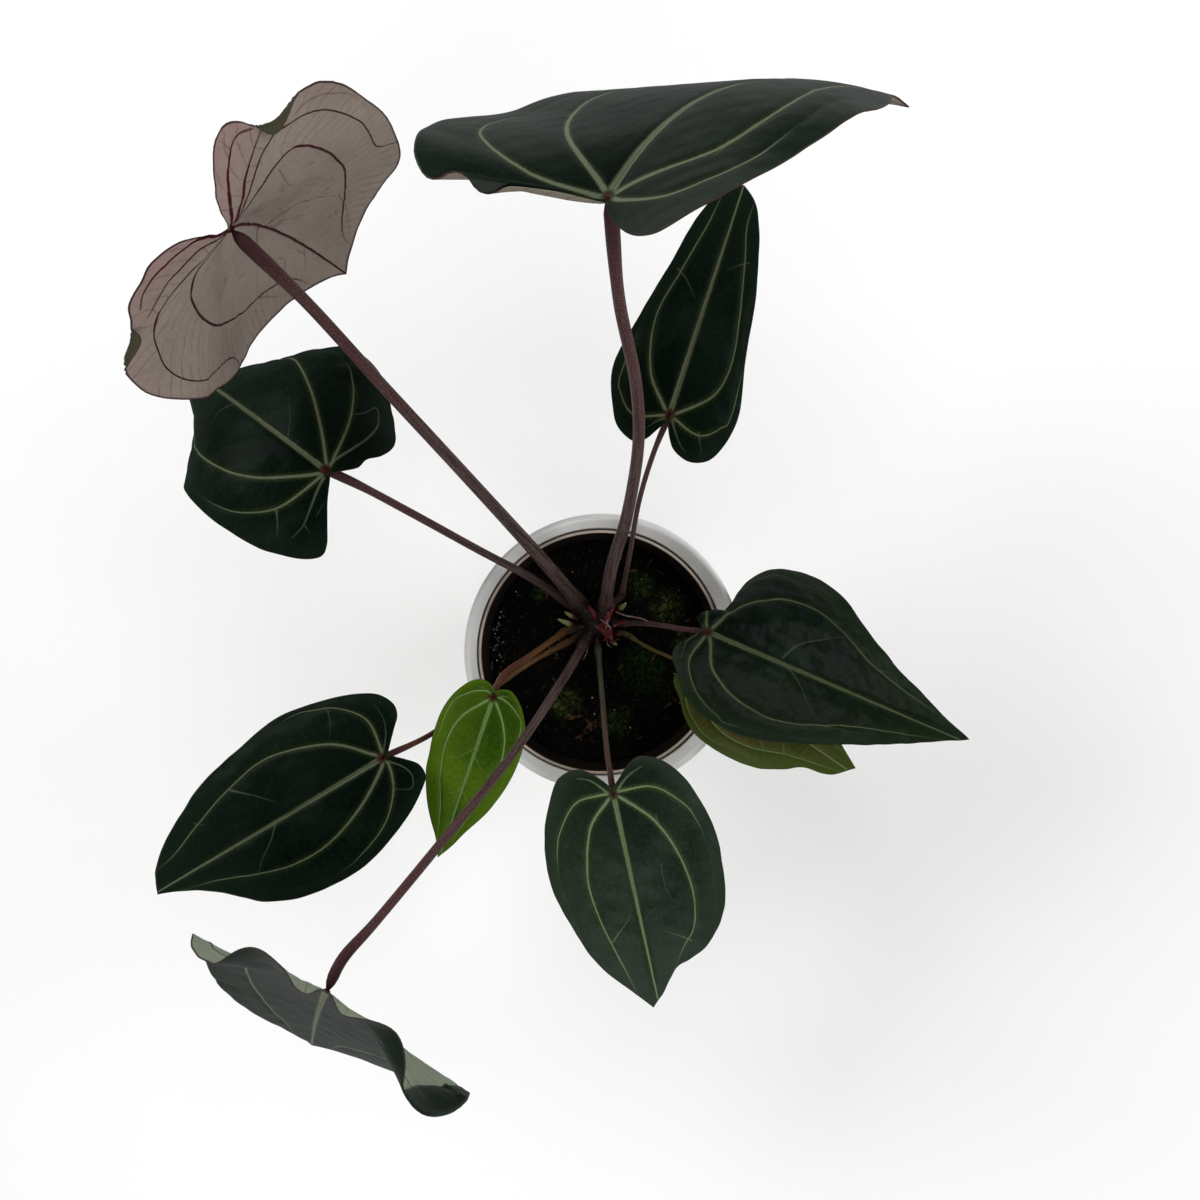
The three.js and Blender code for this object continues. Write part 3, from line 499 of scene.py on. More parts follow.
def half_rim(leaf, side):
    """Rim of one half, from the notch to the tip. side is 1 on the left and -1 on the right."""
    outline = leaf["left"] if side > 0 else leaf["right"]
    return smooth_line([(-NOTCH_RADIUS, 0), *[(u, side * v) for u, v in outline], leaf["tip"]])


def half_veins(leaf, side):
    """The two main veins of one half beside the midrib, each with the share of the rim where it ends."""
    rim = half_rim(leaf, side)
    name = "left" if side > 0 else "right"
    veins = []
    for kind, end in (("inner", INNER_END), ("outer", leaf.get("outer_end", OUTER_END))):
        points = [(u, side * v) for u, v in leaf[f"{kind}_{name}"]]
        veins.append((smooth_line([(0, 0), *points, at_shares(rim, [end])[0]]), end))
    return veins


def distance_to(line, places):
    """Distance from each place to a line, and how far along the line it is nearest."""
    starts, steps = line[:-1], np.diff(line, axis=0)
    lengths = np.maximum(np.linalg.norm(steps, axis=1), LEAST_STEP)
    share = np.clip(((places[:, None] - starts) * steps).sum(-1) / lengths ** 2, 0, 1)
    gaps = np.linalg.norm(places[:, None] - starts - share[..., None] * steps, axis=-1)
    nearest = gaps.argmin(1)
    rows = np.arange(len(places))
    reached = np.concatenate([[0], np.cumsum(lengths)])
    return gaps[rows, nearest], reached[nearest] + share[rows, nearest] * lengths[nearest]


def is_inside(polygon, places):
    """Which places lie inside a closed outline."""
    inside = np.zeros(len(places), bool)
    x, y = places[:, 0], places[:, 1]
    for (ax, ay), (bx, by) in zip(polygon, np.roll(polygon, -1, 0)):
        if ay == by:
            continue
        crosses = ((ay > y) != (by > y)) & (x < (bx - ax) * (y - ay) / (by - ay) + ax)
        inside ^= crosses
    return inside


def beside(line, places):
    """Distance from each place to an open line, with the sign of its side, the share of the line reached
    there, and how far past the line's ends the place is."""
    starts, steps = line[:-1], np.diff(line, axis=0)
    lengths = np.maximum(np.linalg.norm(steps, axis=1), LEAST_STEP)
    away = places[:, None] - starts
    along = (away * steps).sum(-1) / lengths
    held = np.clip(along, 0, lengths)
    gaps = np.linalg.norm(away - (held / lengths)[..., None] * steps, axis=-1)
    nearest = gaps.argmin(1)
    rows = np.arange(len(places))
    turn = steps[nearest, 0] * away[rows, nearest, 1] - steps[nearest, 1] * away[rows, nearest, 0]
    reached = np.concatenate([[0], np.cumsum(lengths)])
    share = (reached[nearest] + held[rows, nearest]) / reached[-1]
    past = np.maximum(np.where(nearest == 0, -along[:, 0], 0), 0)
    past = np.maximum(past, np.where(nearest == len(steps) - 1, along[:, -1] - lengths[-1], 0))
    return gaps[rows, nearest] * np.where(turn < 0, -1, 1), share, past


# Thin veins: share of the width lost along one, and the gaps past its end and beside it over which it
# fades (mm). Where no thin vein of a half is near, the gap to it is written as NO_VEIN.
TWIG_TAPER = 0.6
TWIG_END_FADE = (0.2, 1.4)
TWIG_SIDE_FADE = (3, 4.5)
NO_VEIN = 20.0


def half_twigs(lines, side, places):
    """Distance of each place of one half from the nearest thin vein of a set, and its strength there."""
    gap, strength = np.full(len(places), NO_VEIN), np.zeros(len(places))
    for width, points in lines:
        if sum(v for _, v in points) * side < 0:
            continue
        off, share, past = beside(smooth_line(points), places)
        faded = (1 - eased(past, *TWIG_END_FADE)) * (1 - eased(abs(off), *TWIG_SIDE_FADE))
        shown = width * (1 - TWIG_TAPER * share) * faded
        nearer = abs(off) < abs(gap)
        gap, strength = np.where(nearer, off, gap), np.where(nearer, shown, strength)
    return gap, strength


# Puckers of a blade: how many waves make them, their height and their lengths (mm)
PUCKER_WAVES = 9
PUCKER_HEIGHT = 0.13
PUCKER_LENGTHS = (8, 15)


def puckers(places, seed):
    """Rise of the small uneven puckers of a blade's surface."""
    rng = np.random.default_rng(seed)
    rise = np.zeros(places.shape[:-1])
    for _ in range(PUCKER_WAVES):
        turn = rng.uniform(0, math.pi)
        length = rng.uniform(*PUCKER_LENGTHS)
        phase = rng.uniform(0, 2 * math.pi)
        along = places[..., 0] * math.cos(turn) + places[..., 1] * math.sin(turn)
        rise += np.sin(2 * math.pi * along / length + phase)
    return rise * PUCKER_HEIGHT / math.sqrt(PUCKER_WAVES / 2)


# Depth of the grooves over the two main veins of a half and over the thin veins, and half widths of the
# midrib's groove, the main veins' and the thin veins', all in mm and on a blade of FULL_LENGTH
VEIN_DEPTHS = (0.55, 0.45)
TWIG_DEPTH = 0.25
MIDRIB_GROOVE = 1.8
VEIN_GROOVE = 1.6
TWIG_GROOVE = 1.2
FULL_LENGTH = 130

# Shares of the way from the joint to the rim between which the grooves come up and fade again
GROOVES_START = (0, 0.06)
GROOVES_END = (0.8, 1)


def groove_share(gap, width):
    """Depth of a groove, as a share, at a gap from its middle."""
    return np.exp(-((gap / width) ** 2))


def half_layout(leaf, side, midrib_depth):
    """Flat places of one half's mesh, by row out from the joint and column from the notch to the tip, with
    the distances to its veins on either side of them, how far along them it is, and the relief."""
    rim = half_rim(leaf, side)
    corners = at_shares(rim, np.linspace(0, 1, HALF_COLUMNS + 1))
    share = np.linspace(0, 1, BLADE_ROWS + 1)[:, None, None]
    places = share * corners
    flat = places.reshape(-1, 2)
    size = leaf["tip"][0] / FULL_LENGTH
    fade = eased(share[..., 0], *GROOVES_START) * (1 - eased(share[..., 0], *GROOVES_END))
    relief = midrib_depth * groove_share(places[..., 1], MIDRIB_GROOVE * size) * (places[..., 0] > 0)
    gaps, stations = [], []
    for (line, end), depth in zip(half_veins(leaf, side), VEIN_DEPTHS):
        gap, reached = distance_to(line, flat)
        rest = at_shares(rim, np.linspace(end, 1, 40))
        near_midrib = is_inside(np.concatenate([line, rest, [(0, 0)]]), flat)
        gap, reached = gap.reshape(places.shape[:2]), reached.reshape(places.shape[:2])
        relief = np.maximum(relief, depth * groove_share(gap, VEIN_GROOVE * size))
        gaps.append(np.where(near_midrib.reshape(gap.shape), -gap, gap))
        stations.append(reached)
    twigs, strengths = [], []
    for lines in leaf["twigs"]:
        gap, strength = (found.reshape(relief.shape) for found in half_twigs(lines, side, flat))
        relief = np.maximum(relief, TWIG_DEPTH * strength * groove_share(gap, TWIG_GROOVE * size))
        twigs.append(gap)
        strengths.append(strength)
    return dict(
        places=places, gaps=np.stack(gaps, -1), stations=np.stack(stations, -1) / leaf["tip"][0],
        twigs=np.stack(twigs, -1), strengths=np.stack(strengths, -1), relief=-relief * fade,
    )


def blade_layout(leaf, midrib_depth):
    """Layout of a whole blade. Columns run from the notch round the left half, the tip and the right half."""
    left, right = half_layout(leaf, 1, midrib_depth), half_layout(leaf, -1, midrib_depth)
    return {key: np.concatenate([left[key], right[key][:, -2::-1]], 1) for key in left}


# Radius of a fold of the margin at its strongest (mm), and how fast its flap rises from the blade
FOLD_RADIUS = 1.1
FLAP_RISE = 0.12


def folded_rays(leaf, places):
    """Places of a blade with the folds of its margin, and their rise. A fold turns back over the underside,
    or over the upper side where its flap is negative."""
    rise = np.zeros(places.shape[:2])
    rows, columns = (size - 1 for size in rise.shape)
    for middle, width, flap in leaf.get("folds", ()):
        for column in range(columns + 1):
            strength = max(0, 1 - ((column / columns - middle) / width) ** 2) ** 1.5
            if strength == 0:
                continue
            corner = places[-1, column].copy()
            length = np.linalg.norm(corner)
            over = -1 if flap > 0 else 1
            radius = FOLD_RADIUS * strength
            path = np.linspace(0, 1, rows + 1) * (length + abs(flap) * strength)
            past = path - (length - radius)
            turn = np.clip(past / radius, 0, math.pi)
            back = np.maximum(past - math.pi * radius, 0)
            reach = np.where(past > 0, length - radius + radius * np.sin(turn) - back, path)
            rise[:, column] = np.where(past > 0, over * (radius * (1 - np.cos(turn)) + FLAP_RISE * back), 0)
            places[:, column] = corner * (reach / length)[:, None]
    return places, rise


def rim_waves(leaf, rim, share):
    """Rise of the waves of the margin."""
    rise = np.zeros(np.broadcast(rim, share).shape)
    for middle, width, height in leaf.get("waves", ()):
        bump = np.maximum(0, 1 - ((rim - middle) / width) ** 2) ** 2
        rise += height * share ** WAVE_POWER * bump
    return rise


# Making of meshes

# Corners closer than this (m) are merged, and faces that meet at less than this angle (degrees) are
# smoothed
MERGE_DISTANCE = 1e-6
SMOOTH_UP_TO = 50


def deselect():
    """Nothing selected, and object mode."""
    if bpy.context.object and bpy.context.object.mode != "OBJECT":
        bpy.ops.object.mode_set(mode="OBJECT")
    bpy.ops.object.select_all(action="DESELECT")


def take_up(piece):
    """Selects one piece alone and makes it the active one."""
    deselect()
    piece.select_set(True)
    bpy.context.view_layer.objects.active = piece


def named(name):
    """The piece that has just been made, under its name."""
    piece = bpy.context.object
    piece.name = piece.data.name = name
    return piece


def corners_of(piece):
    """Places of the corners of a piece's mesh."""
    corners = np.zeros(len(piece.data.vertices) * 3)
    piece.data.vertices.foreach_get("co", corners)
    return corners.reshape(-1, 3)


def loop_corners(piece):
    """Number of the corner that each loop of a piece's mesh starts from."""
    corner = np.zeros(len(piece.data.loops), int)
    piece.data.loops.foreach_get("vertex_index", corner)
    return corner


def flat_grid(name, columns, rows):
    """Grid of so many columns and rows, with the column and row of each corner."""
    deselect()
    bpy.ops.mesh.primitive_grid_add(x_subdivisions=columns, y_subdivisions=rows, size=2, calc_uvs=True)
    piece = named(name)
    corners = corners_of(piece)
    column = np.rint((corners[:, 0] + 1) / 2 * columns).astype(int)
    row = np.rint((corners[:, 1] + 1) / 2 * rows).astype(int)
    return piece, column, row


def put_corners(piece, points):
    """Moves every corner of a piece's mesh."""
    piece.data.vertices.foreach_set("co", np.asarray(points, np.float32).ravel())
    piece.data.update()


def paint_layer(piece, name, values):
    """Writes a UV map from one pair of values per loop."""
    layer = piece.data.uv_layers.new(name=name)
    layer.data.foreach_set("uv", np.asarray(values, np.float32).ravel())


def on_whole_mesh(piece, operator, **settings):
    """Runs an operator of edit mode on all of a piece's mesh."""
    take_up(piece)
    bpy.ops.object.mode_set(mode="EDIT")
    bpy.ops.mesh.select_all(action="SELECT")
    operator(**settings)
    bpy.ops.object.mode_set(mode="OBJECT")


def merge_close(piece):
    """Merges corners that coincide."""
    on_whole_mesh(piece, bpy.ops.mesh.remove_doubles, threshold=MERGE_DISTANCE)


def facing_out(piece):
    """Turns the faces of a closed piece outwards."""
    on_whole_mesh(piece, bpy.ops.mesh.normals_make_consistent, inside=False)


def apply_modifier(piece, kind, **settings):
    """Adds a modifier with its settings and applies it."""
    take_up(piece)
    bpy.ops.object.modifier_add(type=kind)
    modifier = piece.modifiers[-1]
    for key, value in settings.items():
        setattr(modifier, key, value)
    bpy.ops.object.modifier_apply(modifier=modifier.name)


def smooth_shade(piece):
    """Smooth shading all over a piece."""
    take_up(piece)
    bpy.ops.object.shade_smooth()


def finished(piece, node):
    """Lets a piece ride on the plant's body in place of its CAD node, which is hidden, where it has one."""
    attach(piece, "root")
    if node:
        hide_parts(node)


# A blade's middle surface stays this far inside the box of the part (m), so that its thickness does too,
# and its puckers come up between these shares of the way from the joint to the rim
BOX_MARGIN = 0.00034
PUCKERS_START = (0.08, 0.3)


def make_blade(name, leaf, skins, thickness, midrib_depth):
    """One leaf blade: a grid wrapped round the joint, shaped to the leaf and given its thickness."""
    layout = blade_layout(leaf, midrib_depth / MM)
    rows, columns = BLADE_ROWS, 2 * HALF_COLUMNS
    piece, column, row = flat_grid(name, columns, rows)
    rim, share = np.linspace(0, 1, columns + 1), np.linspace(0, 1, rows + 1)[:, None]
    bent, fold_rise = folded_rays(leaf, layout["places"].copy())
    rise = rim_waves(leaf, rim, share) + layout["relief"] + fold_rise
    pucker_share = eased(share, *PUCKERS_START) * leaf.get("puckers", 1)
    rise += puckers(layout["places"], ord(name[-1])) * pucker_share
    points = blade_point(leaf, bent[..., 0], bent[..., 1], rise)
    points = np.clip(points, np.add(CAD_BOX[0], BOX_MARGIN), np.subtract(CAD_BOX[1], BOX_MARGIN))
    put_corners(piece, points[row, column])
    corner = loop_corners(piece)
    at = row[corner], column[corner]
    paint_layer(piece, "flat", layout["places"][at] * MM)
    paint_layer(piece, "loops", layout["gaps"][at])
    for key in ("stations", "twigs", "strengths"):
        paint_layer(piece, key, layout[key][at])
    paint_layer(piece, "rim", np.stack([share[at[0], 0], rim[at[1]]], -1))
    merge_close(piece)
    for skin in skins:
        piece.data.materials.append(skin)
    apply_modifier(piece, "SOLIDIFY", thickness=thickness, offset=0, material_offset=1, material_offset_rim=1)
    smooth_shade(piece)
    return piece


def rod_line(points, samples=24):
    """Even fine points of the centripetal curve through the given ones."""
    knots = np.array(points, float)
    knots = np.concatenate([[2 * knots[0] - knots[1]], knots, [2 * knots[-1] - knots[-2]]])
    line = []
    for before, start, end, after in zip(knots, knots[1:], knots[2:], knots[3:]):
        pairs = (before, start), (start, end), (end, after)
        first, here, last = (max(np.linalg.norm(b - a), LEAST_STEP) ** 0.5 for a, b in pairs)
        step = end - start
        lead = ((start - before) / first - (end - before) / (first + here) + step / here) * here
        tail = (step / here - (after - start) / (here + last) + (after - end) / last) * here
        t = np.linspace(0, 1, samples, endpoint=False)[:, None]
        line.append(
            start + lead * t + (3 * step - 2 * lead - tail) * t ** 2 + (lead + tail - 2 * step) * t ** 3
        )
    return np.concatenate([*line, knots[-2:-1]])


def make_rod(name, line, radii, sides=16):
    """Closed round rod along a line (mm), with the radius at each row. Its UV map runs round and along it."""
    rows = len(radii) - 1
    centres = at_shares(line, np.linspace(0, 1, rows + 1))
    tangents = np.gradient(centres, axis=0)
    tangents /= np.linalg.norm(tangents, axis=1, keepdims=True)
    side = np.cross(tangents[0], (0.31, 0.95, 0.12))
    sides_out = []
    for tangent in tangents:
        side = side - side.dot(tangent) * tangent
        side = side / np.linalg.norm(side)
        sides_out.append(side)
    across = np.array(sides_out)
    over = np.cross(tangents, across)
    piece, column, row = flat_grid(name, sides, rows + 2)
    turn = 2 * math.pi * (column % sides) / sides
    ring = np.clip(row - 1, 0, rows)
    closed = (row == 0) | (row == rows + 2)
    radius = np.where(closed, 0, np.asarray(radii)[ring])
    points = centres[ring] + radius[:, None] * (
        np.cos(turn)[:, None] * across[ring] + np.sin(turn)[:, None] * over[ring]
    )
    put_corners(piece, (points + (PLANT_SHIFT, 0, 0)) * MM)
    corner = loop_corners(piece)
    length = np.linalg.norm(np.diff(centres, axis=0), axis=1).sum()
    skin = np.stack([column[corner] / sides, ring[corner] / rows * length * MM], -1)
    paint_layer(piece, "skin", skin)
    paint_layer(piece, "reach", np.stack([ring[corner] / rows, column[corner] / sides], -1))
    merge_close(piece)
    facing_out(piece)
    smooth_shade(piece)
    return piece


# Stalks: rows of the mesh, depth of the foot in the soil (mm), share of the length at which the middle
# radius is reached, how much the joint swells and between which shares, how far and from where the end
# narrows, and what is left of the last two rows' radii
STALK_ROWS = 90
ROOT_DEPTH = 10
SLENDER_FROM = 0.4
JOINT_SWELLING = 0.2
JOINT_FROM = (0.85, 0.95)
END_SHARE = 0.7
END_FROM = 0.985
LAST_ROWS = (0.85, 0.4)

# A stalk ends this far under the blade's middle: half the blade of the part, the gap to it and a little
# play (mm)
BLADE_SEAT = 0.35 + 0.3 + 0.15

# Knots: width for each mm of the stalk's radius at the joint, depth for each mm of that width, and height
# above the blade's middle (mm)
KNOT_WIDTH = 0.8
KNOT_DEPTH = 0.95
KNOT_HEIGHT = 0.3


def stalk_line(leaf):
    """Middle line of a stalk, from its foot in the soil to its end under the blade."""
    route = [np.array(point, float) for point in leaf["route"]]
    up = leaf_turn(leaf) @ np.array([0, 0, 1.0])
    joint = np.array(leaf["joint"], float)
    lean = joint - route[-1]
    angle = math.acos(lean.dot(up) / np.linalg.norm(lean))
    length = leaf["tip"][0]
    folds = [float(along_blade(leaf[key], 0, length)) for key in ("fold_left", "fold_right")]
    end_radius = leaf["stalk"][2] * (1 + JOINT_SWELLING) * END_SHARE
    seat = end_radius * math.sin(angle - min(0, *folds)) + BLADE_SEAT
    foot = np.array([*leaf["route"][0][:2], SOIL_TOP - ROOT_DEPTH])
    return rod_line([foot, *route, joint - seat * up])


def make_knot(name, leaf, skin):
    """The dark knot at which a stalk passes into its blade, which shows a little on the upper side."""
    deselect()
    bpy.ops.mesh.primitive_uv_sphere_add(segments=24, ring_count=14, radius=MM, location=(0, 0, 0))
    piece = named(name)
    corners = corners_of(piece) / MM
    width = leaf["stalk"][2] * KNOT_WIDTH
    turn = np.arctan2(corners[:, 1], corners[:, 0])
    lobed = width * (1 + 0.14 * np.cos(3 * turn) + 0.08 * np.cos(7 * turn + 1))
    deep = np.where(corners[:, 2] > 0, KNOT_HEIGHT, KNOT_DEPTH * width)
    shaped = np.stack([corners[:, 0] * lobed, corners[:, 1] * lobed, corners[:, 2] * deep], -1)
    place = np.array(leaf["joint"]) + (PLANT_SHIFT, 0, 0)
    put_corners(piece, (shaped @ leaf_turn(leaf).T + place) * MM)
    piece.data.materials.append(skin)
    smooth_shade(piece)
    return piece


def make_stalk(name, leaf, skin):
    """One leaf stalk with its swollen joint."""
    share = np.linspace(0, 1, STALK_ROWS + 1)
    base, middle, top = leaf["stalk"]
    lower = base + (middle - base) * np.minimum(share / SLENDER_FROM, 1)
    radii = lower + (top - lower) * np.maximum(share - SLENDER_FROM, 0) / (1 - SLENDER_FROM)
    radii *= 1 + JOINT_SWELLING * eased(share, *JOINT_FROM)
    radii *= 1 - (1 - END_SHARE) * eased(share, END_FROM, 1)
    radii[-2:] *= LAST_ROWS
    piece = make_rod(name, stalk_line(leaf), radii)
    piece.data.materials.append(skin)
    return piece


def turned_body(name, rings, segments=128):
    """Round body: a circle that is extruded from ring to ring of (radius, height, shift to the side) in mm,
    and filled at both ends."""
    deselect()
    radius, height, shift = rings[0]
    bpy.ops.mesh.primitive_circle_add(
        vertices=segments, radius=radius * MM, location=(shift * MM, 0, height * MM)
    )
    piece = named(name)
    bpy.ops.object.transform_apply(location=True, rotation=True, scale=True)
    bpy.ops.object.mode_set(mode="EDIT")
    bpy.ops.mesh.select_all(action="SELECT")
    for before, (radius, height, shift) in zip(rings, rings[1:]):
        step = ((shift - before[2]) * MM, 0, (height - before[1]) * MM)
        bpy.ops.mesh.extrude_region_move(TRANSFORM_OT_translate={"value": step})
        share = radius / before[0]
        bpy.ops.transform.resize(value=(share, share, 1), center_override=(shift * MM, 0, height * MM))
    bpy.ops.mesh.select_all(action="SELECT")
    bpy.ops.mesh.remove_doubles(threshold=MERGE_DISTANCE)
    bpy.ops.mesh.select_all(action="DESELECT")
    bpy.ops.mesh.select_mode(type="EDGE")
    bpy.ops.mesh.select_non_manifold()
    bpy.ops.mesh.fill_holes(sides=0)
    bpy.ops.mesh.select_mode(type="VERT")
    bpy.ops.mesh.select_all(action="SELECT")
    bpy.ops.mesh.normals_make_consistent(inside=False)
    bpy.ops.object.mode_set(mode="OBJECT")
    return piece


def angle_shade(piece):
    """Smooth shading where faces meet at less than an angle."""
    take_up(piece)
    bpy.ops.object.shade_smooth_by_angle(angle=math.radians(SMOOTH_UP_TO))


# Materials

class Recipe:
    """Node tree of one material, written line by line."""

    def __init__(self, name):
        self.material = bpy.data.materials.new(name)
        self.material.use_nodes = True
        self.tree = self.material.node_tree
        self.shader = self.tree.nodes["Principled BSDF"]

    def add(self, kind, settings=None, **inputs):
        node = self.tree.nodes.new(kind)
        for key, value in (settings or {}).items():
            setattr(node, key, value)
        for key, value in inputs.items():
            self.feed(node.inputs[int(key[2:]) if key.startswith("in") and key[2:].isdigit() else key], value)
        return node

    def feed(self, socket, value):
        if isinstance(value, bpy.types.NodeSocket):
            self.tree.links.new(value, socket)
        else:
            socket.default_value = value

    def math(self, operation, first, second=0.0):
        return self.add("ShaderNodeMath", dict(operation=operation), in0=first, in1=second).outputs[0]

    def plus(self, first, second):
        return self.math("ADD", first, second)

    def minus(self, first, second):
        return self.math("SUBTRACT", first, second)

    def times(self, first, second):
        return self.math("MULTIPLY", first, second)

    def larger(self, first, second):
        return self.math("MAXIMUM", first, second)

    def distance(self, first, second):
        node = self.add("ShaderNodeVectorMath", dict(operation="DISTANCE"), in0=first, in1=second)
        return node.outputs["Value"]

    def blend(self, *terms):
        """Sum of several values, each with its share."""
        total = 0.0
        for value, share in terms:
            total = self.plus(total, self.times(value, share))
        return total

    def ramp(self, value, low, high, to_low=0.0, to_high=1.0, smooth=True):
        """Value mapped from one range to another, and kept within it."""
        node = self.add(
            "ShaderNodeMapRange", dict(interpolation_type="SMOOTHSTEP" if smooth else "LINEAR"),
            in0=value, in1=low, in2=high, in3=to_low, in4=to_high,
        )
        return node.outputs[0]

    def mix(self, share, first, second):
        node = self.add("ShaderNodeMix", dict(data_type="RGBA"))
        self.feed(node.inputs[0], share)
        self.feed(node.inputs[6], first)
        self.feed(node.inputs[7], second)
        return node.outputs[2]

    def uv(self, name):
        return self.add("ShaderNodeUVMap", dict(uv_map=name)).outputs[0]

    def parts(self, vector):
        return self.add("ShaderNodeSeparateXYZ", in0=vector).outputs

    def scaled(self, vector, size):
        node = self.add("ShaderNodeMapping", in0=vector)
        node.inputs["Scale"].default_value = size if hasattr(size, "__len__") else (size,) * 3
        return node.outputs[0]

    def objects(self):
        return self.add("ShaderNodeTexCoord").outputs["Object"]

    def noise(self, vector, scale, detail=3.0, roughness=0.5):
        node = self.add("ShaderNodeTexNoise")
        self.feed(node.inputs["Vector"], vector)
        node.inputs["Scale"].default_value = scale
        node.inputs["Detail"].default_value = detail
        node.inputs["Roughness"].default_value = roughness
        return node.outputs[0]

    def cells(self, vector, scale, feature="DISTANCE_TO_EDGE"):
        node = self.add("ShaderNodeTexVoronoi", dict(feature=feature))
        self.feed(node.inputs["Vector"], vector)
        node.inputs["Scale"].default_value = scale
        return node.outputs[0]

    def relief(self, height, distance, strength=1.0, under=None):
        node = self.add("ShaderNodeBump")
        node.inputs["Strength"].default_value = strength
        node.inputs["Distance"].default_value = distance
        self.feed(node.inputs["Height"], height)
        if under is not None:
            self.feed(node.inputs["Normal"], under)
        return node.outputs[0]

    def finish(self, **inputs):
        for key, value in inputs.items():
            self.feed(self.shader.inputs[key.replace("_", " ")], value)
        return self.material


def rgba(colour, share=1.0):
    """Colour, or a share of its strength, with full opacity."""
    return (*(share * part for part in colour[:3]), 1.0)


# Colours and sheen of the blades' upper sides, and colours of their under sides
FINISHES = {
    "midnight": dict(
        deep=(0.0014, 0.0046, 0.0026), light=(0.0055, 0.0120, 0.0068), blush=(0.0040, 0.0090, 0.0052),
        vein=(0.092, 0.104, 0.064), gloss=0.05, quilt=0.0006,
    ),
    "glossy": dict(
        deep=(0.0012, 0.0044, 0.0024), light=(0.0055, 0.0120, 0.0066), blush=(0.0040, 0.0085, 0.0030),
        vein=(0.060, 0.076, 0.040), gloss=0.10, quilt=0.0018, rim=(0.0080, 0.0165, 0.0060),
    ),
    "satin": dict(
        deep=(0.0020, 0.0062, 0.0034), light=(0.0065, 0.0135, 0.0075), blush=(0.0080, 0.0140, 0.0080),
        vein=(0.11, 0.13, 0.080), gloss=0.24, quilt=0.0007, bold=1.25,
    ),
    "moss": dict(
        deep=(0.0065, 0.013, 0.0070), light=(0.019, 0.030, 0.019), blush=(0.014, 0.024, 0.012),
        vein=(0.13, 0.18, 0.09), gloss=0.12, quilt=0.0008,
    ),
    "lime": dict(
        deep=(0.022, 0.056, 0.0026), light=(0.062, 0.118, 0.005), blush=(0.078, 0.140, 0.008),
        vein=(0.15, 0.25, 0.075), gloss=0.1, quilt=0.0010, bold=0.8,
    ),
    "olive": dict(
        deep=(0.022, 0.038, 0.006), light=(0.042, 0.066, 0.012), blush=(0.062, 0.050, 0.010),
        vein=(0.12, 0.17, 0.06), gloss=0.1, quilt=0.0010,
    ),
}
# The dusky finish paints the margin light olive: partly the leaf's own colour, partly painted light of margin
# folds lit from above
FINISHES["dusky"] = {**FINISHES["midnight"], "gloss": 0.06, "rim": (0.062, 0.058, 0.034)}
UNDERSIDES = {
    "rose": dict(flesh=(0.235, 0.195, 0.165), blush=(0.27, 0.178, 0.165), vein=(0.036, 0.0012, 0.005)),
    "grey": dict(flesh=(0.22, 0.26, 0.19), blush=(0.20, 0.22, 0.17), vein=(0.06, 0.012, 0.016)),
    "pale": dict(flesh=(0.20, 0.185, 0.14), blush=(0.22, 0.16, 0.14), vein=(0.06, 0.010, 0.014)),
    "fresh": dict(flesh=(0.10, 0.16, 0.04), blush=(0.12, 0.15, 0.05), vein=(0.16, 0.22, 0.09)),
}

# Half width of the midrib, the inner and outer loops and the thin veins where they start (mm), and the
# share left at the rim
MIDRIB_WIDTH = 1.35
LOOP_WIDTH = 0.95
OUTER_WIDTH = LOOP_WIDTH * 0.85
TWIG_WIDTH = 0.8
WIDTH_LEFT = 0.3

# Where the outer loops fade, as shares of the blade's length along them: on the upper side and the under
# side
OUTER_FADES = {"upper": (0.34, 0.52), "under": (1.0, 1.3)}

# Spacing of the finest side veins (mm) and their slant
FINE_SPACING = 4.6
FINE_LEAN = 0.62


